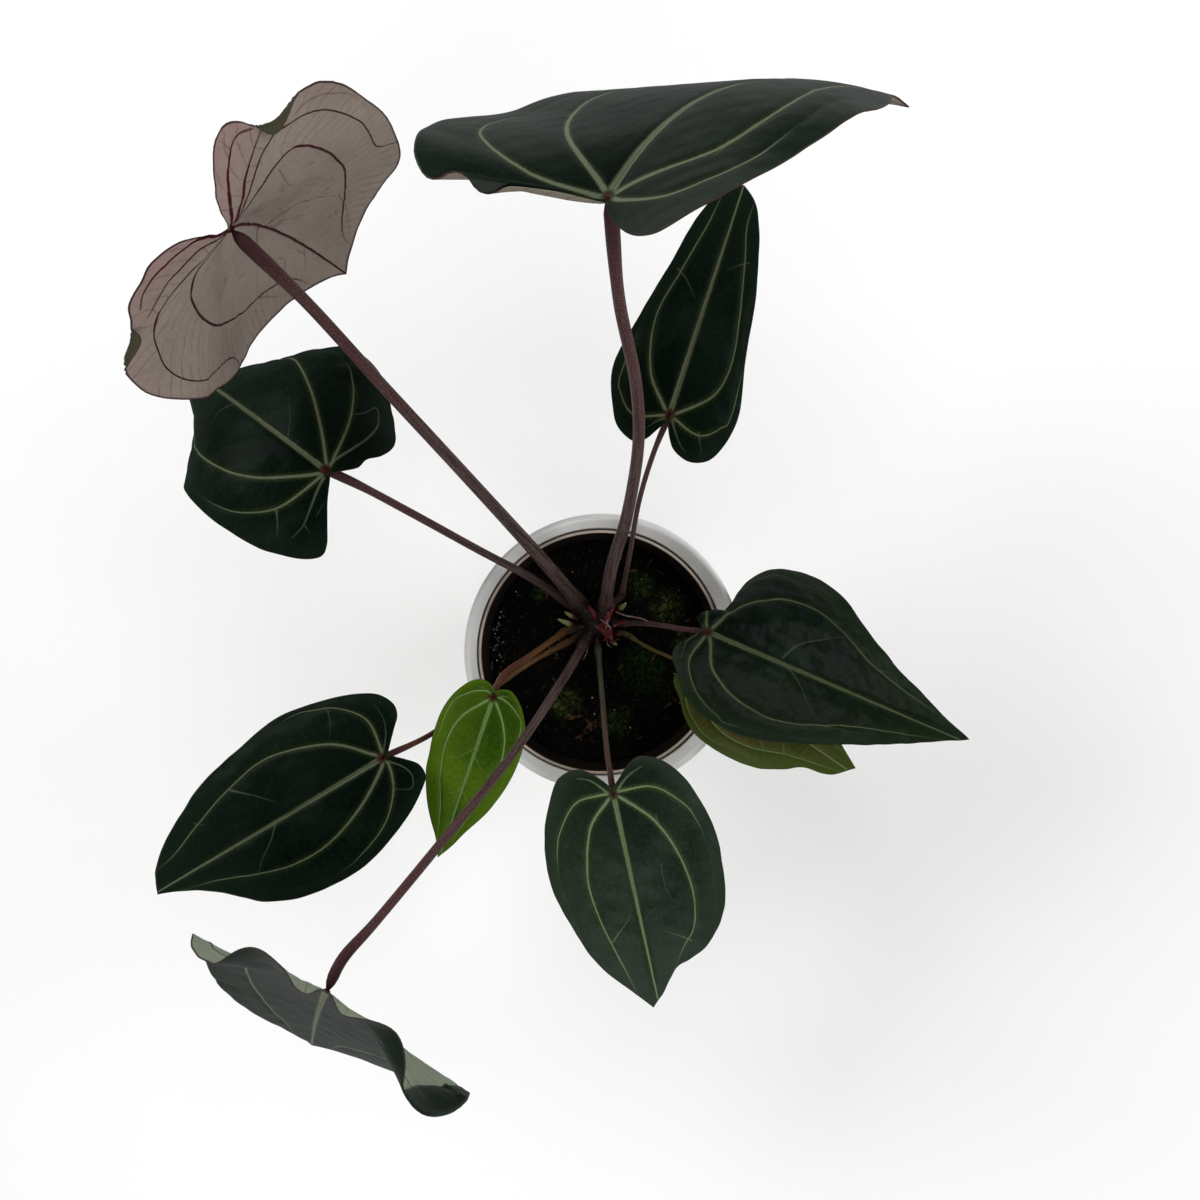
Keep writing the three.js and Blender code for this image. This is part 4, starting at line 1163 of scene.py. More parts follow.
def blade_marks(recipe, side, boldness, soft):
    """Where a blade's veins run: shares of its main veins, thin veins and fine side veins, and what else
    follows the surface."""
    flat = recipe.uv("flat")
    along = recipe.parts(flat)
    loops = recipe.parts(recipe.uv("loops"))
    stations = recipe.parts(recipe.uv("stations"))
    twigs = recipe.parts(recipe.uv("twigs"))
    strengths = recipe.parts(recipe.uv("strengths"))
    share = recipe.parts(recipe.uv("rim"))[0]
    grain = recipe.noise(flat, 420, 4, 0.6)
    speckle = recipe.noise(flat, 1300, 2, 0.6)
    wander = recipe.blend((grain, 0.7), (speckle, 0.6), (-0.65, 1))
    taper = recipe.ramp(share, 0, 1, 1, WIDTH_LEFT, smooth=False)
    ahead = recipe.math("GREATER_THAN", along[0], -0.001)
    midrib_gap = recipe.math("ABSOLUTE", recipe.times(along[1], 1000))
    loop_gaps = [recipe.math("ABSOLUTE", loops[i]) for i in (0, 1)]

    def ridge(gap, width):
        ratio = recipe.plus(recipe.math("DIVIDE", gap, width), wander)
        return recipe.ramp(ratio, 1 + soft, 1 - soft)

    def tapered(gap, width):
        return ridge(gap, recipe.times(taper, width * boldness))

    midrib = recipe.times(tapered(midrib_gap, MIDRIB_WIDTH), ahead)
    inner = recipe.times(tapered(loop_gaps[0], LOOP_WIDTH), recipe.ramp(share, 0.99, 0.86, 0.15, 1))
    start, end = OUTER_FADES[side]
    outer_fade = recipe.ramp(stations[1], end, start, 0.04, 1)
    outer = recipe.times(tapered(loop_gaps[1], OUTER_WIDTH), outer_fade)
    main = recipe.larger(midrib, recipe.larger(inner, outer))
    thin = 0.0
    for gap, strength in zip(twigs[:2], strengths[:2]):
        width = recipe.times(recipe.larger(strength, 0.05), TWIG_WIDTH * boldness)
        line = ridge(recipe.math("ABSOLUTE", gap), width)
        shown = recipe.ramp(strength, 0.02, 0.9, smooth=False)
        thin = recipe.larger(thin, recipe.times(line, shown))

    bend = recipe.times(recipe.minus(recipe.noise(flat, 60, 2), 0.5), 0.55)
    chosen = recipe.blend((along[0], 1000), (recipe.math("ABSOLUTE", along[1]), -1000 * FINE_LEAN))
    for i in (0, 1):
        slanted = recipe.blend((stations[i], 130), (loop_gaps[i], -0.35))
        outside = recipe.math("GREATER_THAN", loops[i], 0)
        chosen = recipe.plus(chosen, recipe.times(outside, recipe.minus(slanted, chosen)))
    chosen = recipe.blend((chosen, 1 / FINE_SPACING), (bend, 1))
    fine_gap = recipe.math("ABSOLUTE", recipe.minus(recipe.math("FRACT", chosen), 0.5))
    fine = recipe.times(recipe.ramp(fine_gap, 0.085, 0.02), recipe.ramp(loops[0], -4, 1, 0.06, 1))
    fine = recipe.times(fine, recipe.ramp(recipe.noise(flat, 90, 3), 0.35, 0.6, 0.25, 1))
    outer_gap = recipe.plus(loop_gaps[1], recipe.ramp(stations[1], start, end, 0, 9))
    nearest = recipe.math("MINIMUM", midrib_gap, recipe.math("MINIMUM", loop_gaps[0], outer_gap))
    size = recipe.add("ShaderNodeVectorMath", dict(operation="LENGTH"), in0=flat).outputs["Value"]
    return dict(
        flat=flat, share=share, main=main, thin=thin, fine=fine, midrib_gap=midrib_gap, nearest=nearest,
        inside=loops[0], beyond=loops[1], grain=grain, speckle=speckle, size=size,
        joint=recipe.ramp(size, 0.0034, 0.0014),
    )


def upper_skin(name, deep, light, blush, vein, gloss, quilt, rim=None, bold=0.9):
    """Upper side of a blade: dark, with pale feathered veins and a satin sheen."""
    recipe = Recipe(name)
    marks = blade_marks(recipe, "upper", bold, 0.45)
    flat, share = marks["flat"], marks["share"]
    cloud = recipe.noise(flat, 38, 4)
    patches = recipe.noise(flat, 17, 2)
    body = recipe.mix(recipe.ramp(cloud, 0.35, 0.7), rgba(deep), rgba(light))
    body = recipe.mix(recipe.ramp(patches, 0.42, 0.62), body, rgba(blush))
    mottle = recipe.noise(flat, 480, 5, 0.75)
    body = recipe.mix(recipe.ramp(mottle, 0.45, 0.65, 0, 0.22), body, rgba(light, 1.9))
    body = recipe.mix(recipe.ramp(mottle, 0.55, 0.35, 0, 0.25), body, rgba(deep, 0.7))
    body = recipe.mix(recipe.ramp(marks["size"], 0.045, 0.008, 0, 0.6), body, rgba(deep, 0.7))
    # Colour towards the margin; the dusky finish's light olive here is partly painted light
    body = recipe.mix(recipe.ramp(share, 0.7, 0.97, 0, 0.85), body, rgba(rim or light))
    body = recipe.mix(recipe.times(marks["fine"], 0.03), body, rgba(vein))
    feather = recipe.times(recipe.ramp(marks["nearest"], 2.6, 0.5), recipe.ramp(marks["speckle"], 0.35, 0.7))
    feather = recipe.times(feather, recipe.ramp(share, 1.0, 0.5, 0.1, 0.9))
    body = recipe.mix(feather, body, rgba((0.34 * vein[0], 0.42 * vein[1], 0.12 * vein[2])))
    body = recipe.mix(recipe.times(marks["thin"], 0.7), body, rgba(vein))
    groove = recipe.times(recipe.ramp(marks["midrib_gap"], 0.4, 0.15), recipe.ramp(share, 0.75, 0.3, 0, 0.5))
    shown = recipe.times(marks["main"], recipe.minus(1.0, groove))
    colour = recipe.mix(shown, body, rgba(vein))
    colour = recipe.mix(recipe.ramp(share, 0.985, 0.997, 0, 0.6), colour, rgba(vein, 0.3))
    colour = recipe.mix(recipe.times(marks["joint"], 0.85), colour, (0.022, 0.005, 0.004, 1))
    height = recipe.blend(
        (marks["fine"], -0.14), (marks["main"], -0.7), (marks["thin"], -0.4), (marks["grain"], 0.1)
    )
    pillows = recipe.noise(flat, 90, 2)
    return recipe.finish(
        Base_Color=colour, Roughness=0.5, Specular_IOR_Level=0.0, Coat_Weight=gloss, Coat_Roughness=0.36,
        Coat_Normal=recipe.relief(pillows, quilt, 0.8), Normal=recipe.relief(height, 0.0005, 0.8),
    )


def under_skin(name, flesh, blush, vein):
    """Under side of a blade: pale and dull, with dark red raised veins."""
    recipe = Recipe(name)
    marks = blade_marks(recipe, "under", 0.9, 0.3)
    flat = marks["flat"]
    cloud = recipe.noise(flat, 30, 4)
    body = recipe.mix(recipe.ramp(cloud, 0.35, 0.7), rgba(flesh), rgba(flesh, 0.86))
    body = recipe.mix(recipe.ramp(marks["beyond"], -2, 30, 0, 0.8), body, rgba(blush))
    mottle = recipe.noise(flat, 160, 5, 0.7)
    body = recipe.mix(recipe.ramp(mottle, 0.45, 0.75, 0, 0.35), body, rgba(flesh, 0.6))
    shifted = recipe.add(
        "ShaderNodeVectorMath", dict(operation="ADD"), in0=flat,
        in1=recipe.scaled(recipe.add("ShaderNodeTexNoise", Vector=flat, Scale=90.0).outputs["Color"], 0.006),
    ).outputs[0]
    crackle = recipe.ramp(recipe.cells(shifted, 75), 0.035, 0.012)
    crackle = recipe.times(crackle, recipe.ramp(recipe.noise(flat, 55, 2), 0.52, 0.6))
    crackle = recipe.times(crackle, recipe.ramp(marks["inside"], -1, -4))
    net = recipe.ramp(recipe.cells(recipe.scaled(flat, (1, 1.6, 1)), 210), 0.10, 0.015)
    lines = recipe.larger(recipe.times(marks["fine"], 0.32), recipe.times(crackle, 0.3))
    body = recipe.mix(lines, body, rgba(vein))
    body = recipe.mix(recipe.times(net, 0.05), body, rgba(vein))
    body = recipe.mix(marks["thin"], body, rgba(vein))
    colour = recipe.mix(recipe.times(marks["main"], 0.97), body, rgba(vein))
    colour = recipe.mix(recipe.ramp(marks["share"], 0.985, 0.996, 0, 0.85), colour, rgba(vein, 0.4))
    colour = recipe.mix(recipe.times(marks["joint"], 0.9), colour, (0.022, 0.004, 0.005, 1))
    height = recipe.blend((marks["fine"], 0.3), (net, 0.15), (marks["thin"], 0.5), (marks["main"], 0.8))
    return recipe.finish(
        Base_Color=colour, Roughness=0.6, Specular_IOR_Level=0.0, Coat_Weight=0.1, Coat_Roughness=0.5,
        Normal=recipe.relief(height, 0.0006, 0.8),
    )


# Colours of the stalks
STEMS = {
    "maroon": dict(
        dark=(0.026, 0.013, 0.012), light=(0.072, 0.046, 0.041), speck=(0.19, 0.160, 0.145),
        flush=(0.058, 0.016, 0.018),
    ),
    "bronze": dict(
        dark=(0.046, 0.017, 0.006), light=(0.125, 0.060, 0.022), speck=(0.21, 0.150, 0.085),
        flush=(0.075, 0.018, 0.014),
    ),
    "grey": dict(
        dark=(0.045, 0.038, 0.026), light=(0.120, 0.115, 0.080), speck=(0.19, 0.170, 0.130),
        flush=(0.060, 0.018, 0.014),
    ),
    "green": dict(
        dark=(0.045, 0.030, 0.009), light=(0.120, 0.095, 0.032), speck=(0.18, 0.140, 0.070),
        flush=(0.090, 0.045, 0.020),
    ),
}


def stalk_skin(name, dark, light, speck, flush):
    """Skin of a stalk: striped, finely speckled, flushed with red higher up and dark at its joint."""
    recipe = Recipe(name)
    skin = recipe.uv("skin")
    reach = recipe.parts(recipe.uv("reach"))[0]
    stripes = recipe.noise(recipe.scaled(skin, (16, 40, 1)), 1, 4)
    specks = recipe.noise(recipe.scaled(skin, (26, 1500, 1)), 1, 3, 0.7)
    blotch = recipe.noise(recipe.scaled(skin, (3, 60, 1)), 1, 3)
    body = recipe.mix(recipe.ramp(stripes, 0.36, 0.64), rgba(dark), rgba(light))
    body = recipe.mix(recipe.ramp(blotch, 0.55, 0.75, 0, 0.5), body, rgba(speck, 0.5))
    body = recipe.mix(recipe.ramp(reach, 0.3, 0.85, 0, 0.7), body, rgba(flush))
    body = recipe.mix(recipe.ramp(specks, 0.54, 0.66, 0, 0.7), body, rgba(speck))
    colour = recipe.mix(recipe.ramp(reach, 0.86, 0.98, 0, 0.85), body, (0.030, 0.007, 0.009, 1))
    height = recipe.plus(stripes, recipe.times(specks, 0.3))
    return recipe.finish(
        Base_Color=colour, Roughness=0.48, Specular_IOR_Level=0.1, Normal=recipe.relief(height, 0.0005, 0.7)
    )


def sheath_skin(name, dark, light, edge, stem=None):
    """Skin of the crown and its sheaths: fibrous, streaked along them, of the stalk's colour at the end."""
    recipe = Recipe(name)
    place = recipe.objects()
    streaks = recipe.noise(recipe.scaled(recipe.uv("skin"), (14, 90, 1)), 1, 4)
    cloud = recipe.noise(place, 520, 4, 0.7)
    body = recipe.mix(recipe.ramp(streaks, 0.35, 0.65), rgba(dark), rgba(light))
    colour = recipe.mix(recipe.ramp(cloud, 0.56, 0.68, 0, 0.8), body, rgba(edge))
    if stem is not None:
        reach = recipe.blend((recipe.parts(recipe.uv("reach"))[0], 1), (streaks, 0.5))
        colour = recipe.mix(recipe.ramp(reach, 0.65, 1.15), colour, rgba(stem))
    height = recipe.plus(streaks, cloud)
    return recipe.finish(
        Base_Color=colour, Roughness=0.55, Specular_IOR_Level=0.15, Normal=recipe.relief(height, 0.0006, 0.8)
    )


def glazed_white(colour):
    """Glossy glaze of the cover pot."""
    recipe = Recipe("white_glaze")
    cloud = recipe.noise(recipe.objects(), 40, 4)
    colour = recipe.mix(recipe.ramp(cloud, 0.3, 0.75), rgba(colour, 0.98), rgba(colour))
    fine = recipe.noise(recipe.objects(), 900, 2)
    return recipe.finish(
        Base_Color=colour, Roughness=recipe.ramp(cloud, 0.2, 0.8, 0.34, 0.40), Coat_Weight=0.2,
        Coat_Roughness=0.2, Normal=recipe.relief(fine, 0.0001, 0.15),
    )


def wall_gap(recipe):
    """Distance from the nursery pot's own middle line."""
    place = recipe.parts(recipe.objects())
    x = recipe.minus(place[0], PLANT_SHIFT * MM)
    return recipe.math("SQRT", recipe.plus(recipe.times(x, x), recipe.times(place[1], place[1])))


def tan_plastic(colour):
    """Dull tan plastic of the nursery pot, a little dusty, with painted shade on its inner wall."""
    recipe = Recipe("tan_plastic")
    cloud = recipe.noise(recipe.objects(), 60, 5)
    colour = recipe.mix(recipe.ramp(cloud, 0.35, 0.7), rgba(colour, 0.75), rgba(colour))
    height = recipe.parts(recipe.objects())[2]
    gap = wall_gap(recipe)
    # Inner wall below the lip: painted shade, partly soil stain, brown just under the lip and near black
    # further down
    inner = recipe.times(recipe.ramp(height, 0.1178, 0.1172), recipe.ramp(gap, 0.0592, 0.0588))
    shade_and_stain = recipe.mix(cloud, (0.002, 0.0012, 0.0008, 1), (0.012, 0.007, 0.004, 1))
    line = recipe.mix(recipe.ramp(height, 0.1155, 0.1172), shade_and_stain, (0.075, 0.032, 0.022, 1))
    colour = recipe.mix(inner, colour, line)
    return recipe.finish(
        Base_Color=colour, Roughness=0.65, Specular_IOR_Level=0.2,
        Normal=recipe.relief(recipe.noise(recipe.objects(), 700, 3), 0.0002, 0.3)
    )


# Where the moss grows on the soil, from the middle of the nursery pot: place, size (mm) and how yellow it
# is
MOSS = [
    ((21, -10), 22, 0.0), ((34, 22), 17, 1.0), ((20, 33), 12, 0.3), ((-17, -27), 15, 0.8),
    ((8, -35), 16, 0.3), ((42, 4), 12, 0.9), ((-30, 30), 9, 0.5),
]


def moss_shares(recipe, place):
    """How much moss grows at a place, and how yellow it is there."""
    amount, yellow = 0.0, 0.0
    for (x, y), size, tint in MOSS:
        middle = ((x + PLANT_SHIFT) * MM, y * MM, SOIL_TOP * MM)
        gap = recipe.distance(place, middle)
        near = recipe.ramp(gap, size * MM, 0.2 * size * MM)
        amount = recipe.larger(amount, near)
        yellow = recipe.larger(yellow, recipe.times(near, tint))
    return amount, yellow


def soil_colour(recipe, place):
    """Colour of the soil, near black with green and yellow moss in patches, and height of its surface."""
    cloud = recipe.noise(place, 120, 5, 0.65)
    damp, dry = (0.0008, 0.0008, 0.0006, 1), (0.0050, 0.0042, 0.0026, 1)
    earth = recipe.mix(recipe.ramp(cloud, 0.5, 0.75), damp, dry)
    amount, yellow = moss_shares(recipe, place)
    fine = recipe.noise(place, 520, 4, 0.7)
    moss = recipe.mix(recipe.ramp(fine, 0.4, 0.72), (0.0014, 0.006, 0.0009, 1), (0.016, 0.046, 0.007, 1))
    gold = recipe.mix(recipe.ramp(fine, 0.4, 0.72), (0.006, 0.008, 0.0015, 1), (0.12, 0.13, 0.035, 1))
    moss = recipe.mix(yellow, moss, gold)
    patchy = recipe.ramp(recipe.times(amount, recipe.noise(place, 150, 4, 0.7)), 0.2, 0.5)
    return recipe.mix(patchy, earth, moss), recipe.plus(cloud, recipe.times(patchy, fine))


def dark_soil():
    """Near-black damp soil with crumbs, moss and a crust of salts."""
    recipe = Recipe("damp_soil")
    place = recipe.objects()
    crumbs = recipe.cells(place, 420, "F1")
    colour, cloud = soil_colour(recipe, place)
    crust = recipe.ramp(recipe.parts(place)[0], -0.046, -0.056)
    salts = recipe.ramp(recipe.noise(place, 330, 4, 0.75), 0.56, 0.66)
    colour = recipe.mix(recipe.times(crust, salts), colour, (0.20, 0.17, 0.14, 1))
    height = recipe.plus(recipe.times(crumbs, -1.0), cloud)
    return recipe.finish(
        Base_Color=colour, Roughness=0.95, Specular_IOR_Level=0.1, Normal=recipe.relief(height, 0.0016, 1.0)
    )


def crumb_finish(name, dark, light):
    """Finish of small bits on the soil."""
    recipe = Recipe(name)
    place = recipe.objects()
    colour = recipe.mix(recipe.ramp(recipe.noise(place, 260, 4, 0.7), 0.4, 0.65), rgba(dark), rgba(light))
    height = recipe.noise(place, 1500, 3)
    return recipe.finish(
        Base_Color=colour, Roughness=0.9, Specular_IOR_Level=0.15, Normal=recipe.relief(height, 0.0004, 1.0)
    )


def moss_finish():
    """Finish of the moss cushions."""
    recipe = Recipe("moss_cushion")
    place = recipe.objects()
    colour = soil_colour(recipe, place)[0]
    tips = recipe.ramp(recipe.noise(place, 900, 3, 0.7), 0.45, 0.7)
    bright = recipe.mix(tips, (0.002, 0.007, 0.001, 1), (0.032, 0.072, 0.012, 1))
    colour = recipe.mix(0.45, colour, bright)
    return recipe.finish(
        Base_Color=colour, Roughness=1.0, Specular_IOR_Level=0.1,
        Normal=recipe.relief(recipe.noise(place, 1400, 3, 0.7), 0.0008, 1.0)
    )


# Each corner of a loose bit is moved in or out by a share between these
BIT_ROUGHNESS = (0.7, 1.3)


def scattered_bits(name, spots, rise, radii, shape, finish, seed):
    """Many small bits in one piece: one lump is repeated, and each copy gets its own spot and radius (mm).
    Their middles lie by rise above the soil, and shape is how long, wide and high a bit is for its radius."""
    deselect()
    bpy.ops.mesh.primitive_ico_sphere_add(subdivisions=1, radius=MM, location=(0, 0, 0))
    piece = named(name)
    lump = corners_of(piece)
    apply_modifier(piece, "ARRAY", count=len(spots), use_merge_vertices=False)
    rng = np.random.default_rng(seed)
    bits = []
    for spot, radius in zip(spots, radii):
        about = turn_about_z(rng.uniform(0, 2 * math.pi))
        rough = lump * rng.uniform(*BIT_ROUGHNESS, lump.shape)
        place = np.array([*(spot + (PLANT_SHIFT, 0)), SOIL_TOP + rise]) * MM
        bits.append((rough * (radius * np.array(shape))) @ about.T + place)
    put_corners(piece, np.concatenate(bits))
    piece.data.materials.append(finish)
    smooth_shade(piece)
    finished(piece, None)


def pale_floor():
    """Plain pale floor."""
    recipe = Recipe("pale_floor")
    cloud = recipe.noise(recipe.objects(), 3, 2)
    colour = recipe.mix(cloud, (0.93, 0.93, 0.93, 1), (0.95, 0.95, 0.95, 1))
    return recipe.finish(Base_Color=colour, Roughness=0.85)


def soft_world(strength):
    """Even white surroundings."""
    world = bpy.data.worlds.new("soft_studio")
    world.use_nodes = True
    background = world.node_tree.nodes["Background"]
    background.inputs["Color"].default_value = (1, 1, 1, 1)
    background.inputs["Strength"].default_value = strength
    return world


# Lights: place (m), share of the key light's power, and size (m). All face a point among the leaves.
SOFT_BOXES = {
    "window_light": ((-1.5, 1.1, 1.35), 1, (1.8, 1.2)),
    "right_light": ((1.7, 0.5, 1.3), 0.6, (1.6, 1.2)),
    "front_light": ((0.2, -1.8, 1.3), 0.6, (1.8, 1.2)),
}
LIGHTS_FACE = (0, 0.03, 0.15)

# Camera: its place over the plant (m), its sensor's width (mm) and the nearest that it sees (m)
CAMERA_PLACE = (-0.0014, 0.0256, 0.818)
SENSOR_WIDTH = 36
NEAREST_SEEN = 0.01
FLOOR_SIZE = 8


def soft_box(name, place, power, size):
    """Large soft light that faces the plant."""
    bpy.ops.object.light_add(type="AREA", location=place)
    light = bpy.context.object
    light.name = light.data.name = name
    light.data.shape = "RECTANGLE"
    light.data.size, light.data.size_y = size
    light.data.energy = power
    light.rotation_euler = (Vector(LIGHTS_FACE) - light.location).to_track_quat("-Z", "Y").to_euler()


# Sizes and colours that a user would change

class PotLooks(bpy.types.PropertyGroup):
    """Sizes and colours of the two pots."""

    height: FloatProperty(
        name="Cover pot height", description="Height of the white cover pot", default=0.122, unit="LENGTH"
    )
    radius: FloatProperty(
        name="Cover pot radius", description="Outer radius of the cover pot at its rim", default=0.0679,
        unit="LENGTH",
    )
    cover_colour: FloatVectorProperty(
        name="Cover pot colour", description="Colour of the cover pot's glaze", default=(0.83, 0.83, 0.82),
        subtype="COLOR", min=0, max=1,
    )
    nursery_colour: FloatVectorProperty(
        name="Nursery pot colour", description="Colour of the nursery pot's plastic",
        default=(0.60, 0.52, 0.44), subtype="COLOR", min=0, max=1,
    )


class LeafLooks(bpy.types.PropertyGroup):
    """Sizes and colours of the leaves."""

    thickness: FloatProperty(
        name="Blade thickness", description="Thickness of a leaf blade", default=0.00055, unit="LENGTH"
    )
    midrib_depth: FloatProperty(
        name="Midrib depth", description="Depth of the groove over the midrib", default=0.0008, unit="LENGTH"
    )
    leaf_colour: FloatVectorProperty(
        name="Leaf colour", description="Lighter colour of a full-grown leaf's upper side",
        default=(0.0055, 0.0120, 0.0068), subtype="COLOR", min=0, max=1,
    )
    vein_colour: FloatVectorProperty(
        name="Vein colour", description="Colour of a full-grown leaf's veins on the upper side",
        default=(0.092, 0.104, 0.064), subtype="COLOR", min=0, max=1,
    )


class StageLooks(bpy.types.PropertyGroup):
    """Floor, camera and light."""

    lens: FloatProperty(name="Lens", description="Focal length of the camera", default=42.7, unit="CAMERA")
    key_power: FloatProperty(
        name="Key light", description="Power of the large soft light in watts", default=38.0, unit="POWER"
    )
    surroundings: FloatProperty(
        name="Surroundings", description="Strength of the even light from all round", default=0.24,
        subtype="FACTOR",
    )


# Rings of each pot and of the soil, from the middle of the foot or bottom outwards: radius and height,
# and inside the cover pot also the shift to the side (mm). The first two are the cover pot's radius and
# height at its rim.
COVER_RADIUS = 67.9
COVER_HEIGHT = 122
COVER_OUTSIDE = [
    (20, 0), (45.5, 0), (46.6, 0.4), (47, 1.4), (67.6, 119.6), (67.9, 121.2), (67.4, 121.8), (66.6, 122),
    (65.6, 121.9), (65.0, 121.5),
]
COVER_INSIDE = [
    (63.8, 120.2, -0.2), (62.2, 118.2, -0.6), (61.3, 117.0, -0.9), (61.0, 116.0, -1.0), (60.8, 112, -1.0),
    (60.8, 109.6, -1.0), (60.4, 108.6, -1.0), (59.4, 108.2, -1.0), (58.6, 107.4, -1.0), (44.4, 6.5, -0.6),
    (43.2, 4.6, -0.5), (41, 3.8, -0.5), (20, 3.8, 0),
]
NURSERY_RINGS = [
    (10, 4.3), (40.4, 4.3), (41, 4.9), (57.5, 109), (59.4, 109), (59.9, 109.5), (60, 117.2), (59.7, 117.8),
    (59.2, 118), (58.8, 117.8), (58.6, 117.2), (57.1, 109.2), (39.9, 6.0), (39.2, 5.5), (10, 5.5),
]
SOIL_RINGS = [
    (10, 6), (39.3, 6), (55.7, 102.2), (55.2, 102.6), (53.5, 102.8), (50, 103), (45, 103), (40, 103),
    (20, 103), (6, 103),
]


def shifted(rings, shift=PLANT_SHIFT):
    """Rings with their shift to the side."""
    return [(*ring, shift) for ring in rings]


class ANTHURIUM_OT_pots(bpy.types.Operator):
    """Build the white cover pot and the tan nursery pot."""

    bl_idname = "anthurium.pots"
    bl_label = "Pots"

    def execute(self, context):
        looks = context.scene.anthurium_pots
        wide, high = looks.radius / (COVER_RADIUS * MM), looks.height / (COVER_HEIGHT * MM)
        rings = shifted(COVER_OUTSIDE, 0) + COVER_INSIDE
        rings = [(radius * wide, z * high, shift) for radius, z, shift in rings]
        cover = turned_body("cover_pot_shell", rings)
        cover.data.materials.append(glazed_white(looks.cover_colour))
        angle_shade(cover)
        finished(cover, "cover_pot")
        nursery = turned_body("nursery_pot_shell", shifted(NURSERY_RINGS))
        nursery.data.materials.append(tan_plastic(looks.nursery_colour))
        angle_shade(nursery)
        finished(nursery, "nursery_pot")
        return {"FINISHED"}


# Loose bits: radius of the soil they lie on, and the place and radius kept clear round the crown (mm)
BITS_WITHIN = 53
CLEAR_ROUND = (-2, 14)
CLEAR_RADIUS = 9

# How many random spots are tried for the loose bits, and how many cushions of moss and crumbs are kept
SPOTS_TRIED = 4000
MOST_CUSHIONS = 420
CRUMBS = 620

# Loose bits of each kind: rise above the soil, least and most radius (mm), and length, width and height
# for it
CUSHION = (-0.3, (0.6, 1.9), (1, 0.9, 0.6))
CRUMB = (-0.2, (0.4, 1.5), (1, 0.8, 0.6))
BARK = (0.3, (1.0, 3.0), (1, 0.35, 0.25))
SPECK = (0.4, (0.25, 0.6), (1, 0.8, 0.6))

# Moss cushions stay on a spot by chance, the likelier the nearer it is to a patch's middle, within these
# shares
CUSHION_ODDS = (0.05, 0.8)

# Which of the spots tried carry bark and white specks. Both also lie together round a place of their own,
# given as its middle, its spread (mm) and how many lie there.
BARK_SPOTS = slice(700, 735)
SPECK_SPOTS = slice(900, 918)
BARK_HEAP = ((-8, -36), 3, 14)
SPECK_STRIP = ((-51, 12), (1.2, 9), 26)
SPECKS_WITHIN = 54


def moss_nearness(spot):
    """Share of the way from a patch of moss's edge to its middle, for the patch that has the spot deepest."""
    return max(1 - math.hypot(spot[0] - x, spot[1] - y) / size for (x, y), size, _ in MOSS)


def scatter_on_soil():
    """Cushions of moss, crumbs, bark and white specks on the soil."""
    rng = np.random.default_rng(7)
    disc = rng.uniform(-1, 1, (SPOTS_TRIED, 2))
    disc = disc[np.hypot(*disc.T) < 1] * BITS_WITHIN
    disc = disc[np.hypot(*(disc - CLEAR_ROUND).T) > CLEAR_RADIUS]

    def scatter(name, spots, kind, finish, seed):
        rise, radii, shape = kind
        scattered_bits(name, spots, rise, rng.uniform(*radii, len(spots)), shape, finish, seed)

    near_moss = np.array([moss_nearness(spot) for spot in disc])
    cushions = disc[near_moss > rng.uniform(*CUSHION_ODDS, len(disc))][:MOST_CUSHIONS]
    scatter("moss_cushions", cushions, CUSHION, moss_finish(), 1)
    brown = crumb_finish("crumb_brown", (0.0012, 0.0009, 0.0006), (0.014, 0.009, 0.005))
    scatter("soil_crumbs", disc[-CRUMBS:], CRUMB, brown, 2)
    middle, spread, count = BARK_HEAP
    bark = np.concatenate([disc[BARK_SPOTS], middle + rng.normal(0, spread, (count, 2))])
    reddish = crumb_finish("bark_brown", (0.020, 0.008, 0.004), (0.09, 0.045, 0.022))
    scatter("bark_bits", bark, BARK, reddish, 3)
    middle, spread, count = SPECK_STRIP
    specks = np.concatenate([disc[SPECK_SPOTS], middle + rng.normal(0, 1, (count, 2)) * spread])
    specks = specks[np.hypot(*specks.T) < SPECKS_WITHIN]
    scatter("white_specks", specks, SPECK, crumb_finish("perlite", (0.25, 0.22, 0.18), (0.5, 0.46, 0.4)), 4)


class ANTHURIUM_OT_soil(bpy.types.Operator):
    """Build the crumbly soil."""

    bl_idname = "anthurium.soil"
    bl_label = "Soil"

    def execute(self, context):
        soil = turned_body("soil_body", shifted(SOIL_RINGS))
        soil.data.materials.append(dark_soil())
        smooth_shade(soil)
        finished(soil, "soil")
        scatter_on_soil()
        return {"FINISHED"}


# The crown's middle from the middle of the nursery pot, the rings of its mound (radius and height), and
# how far the mound swells in and out round it, with how often (mm)
CROWN = (-1.5, 14)
MOUND_RINGS = [(2, 99), (7.5, 99), (8.5, 103), (8, 106), (6.5, 108.5), (4, 110), (1.5, 110.6)]
MOUND_SWELLS = ((0.16, 5), (0.10, 9))
MOUND_TWIST = 900

# Sheaths: length and radius (mm), each as a part for each mm of the stalk's width and a fixed part, the
# shares of the length at which they hold on to the stalk, how far up their path bows (mm), and how they
# narrow
SHEATH_LENGTH = (3.6, 14)
SHEATH_RADIUS = (1.18, 0.4)
SHEATH_HOLDS = (0.66, 0.83, 1)
SHEATH_BOW = 1.5
SHEATH_TAPER = 0.1
SHEATH_END_FROM = 0.75
SHEATH_END_TAPER = 0.16

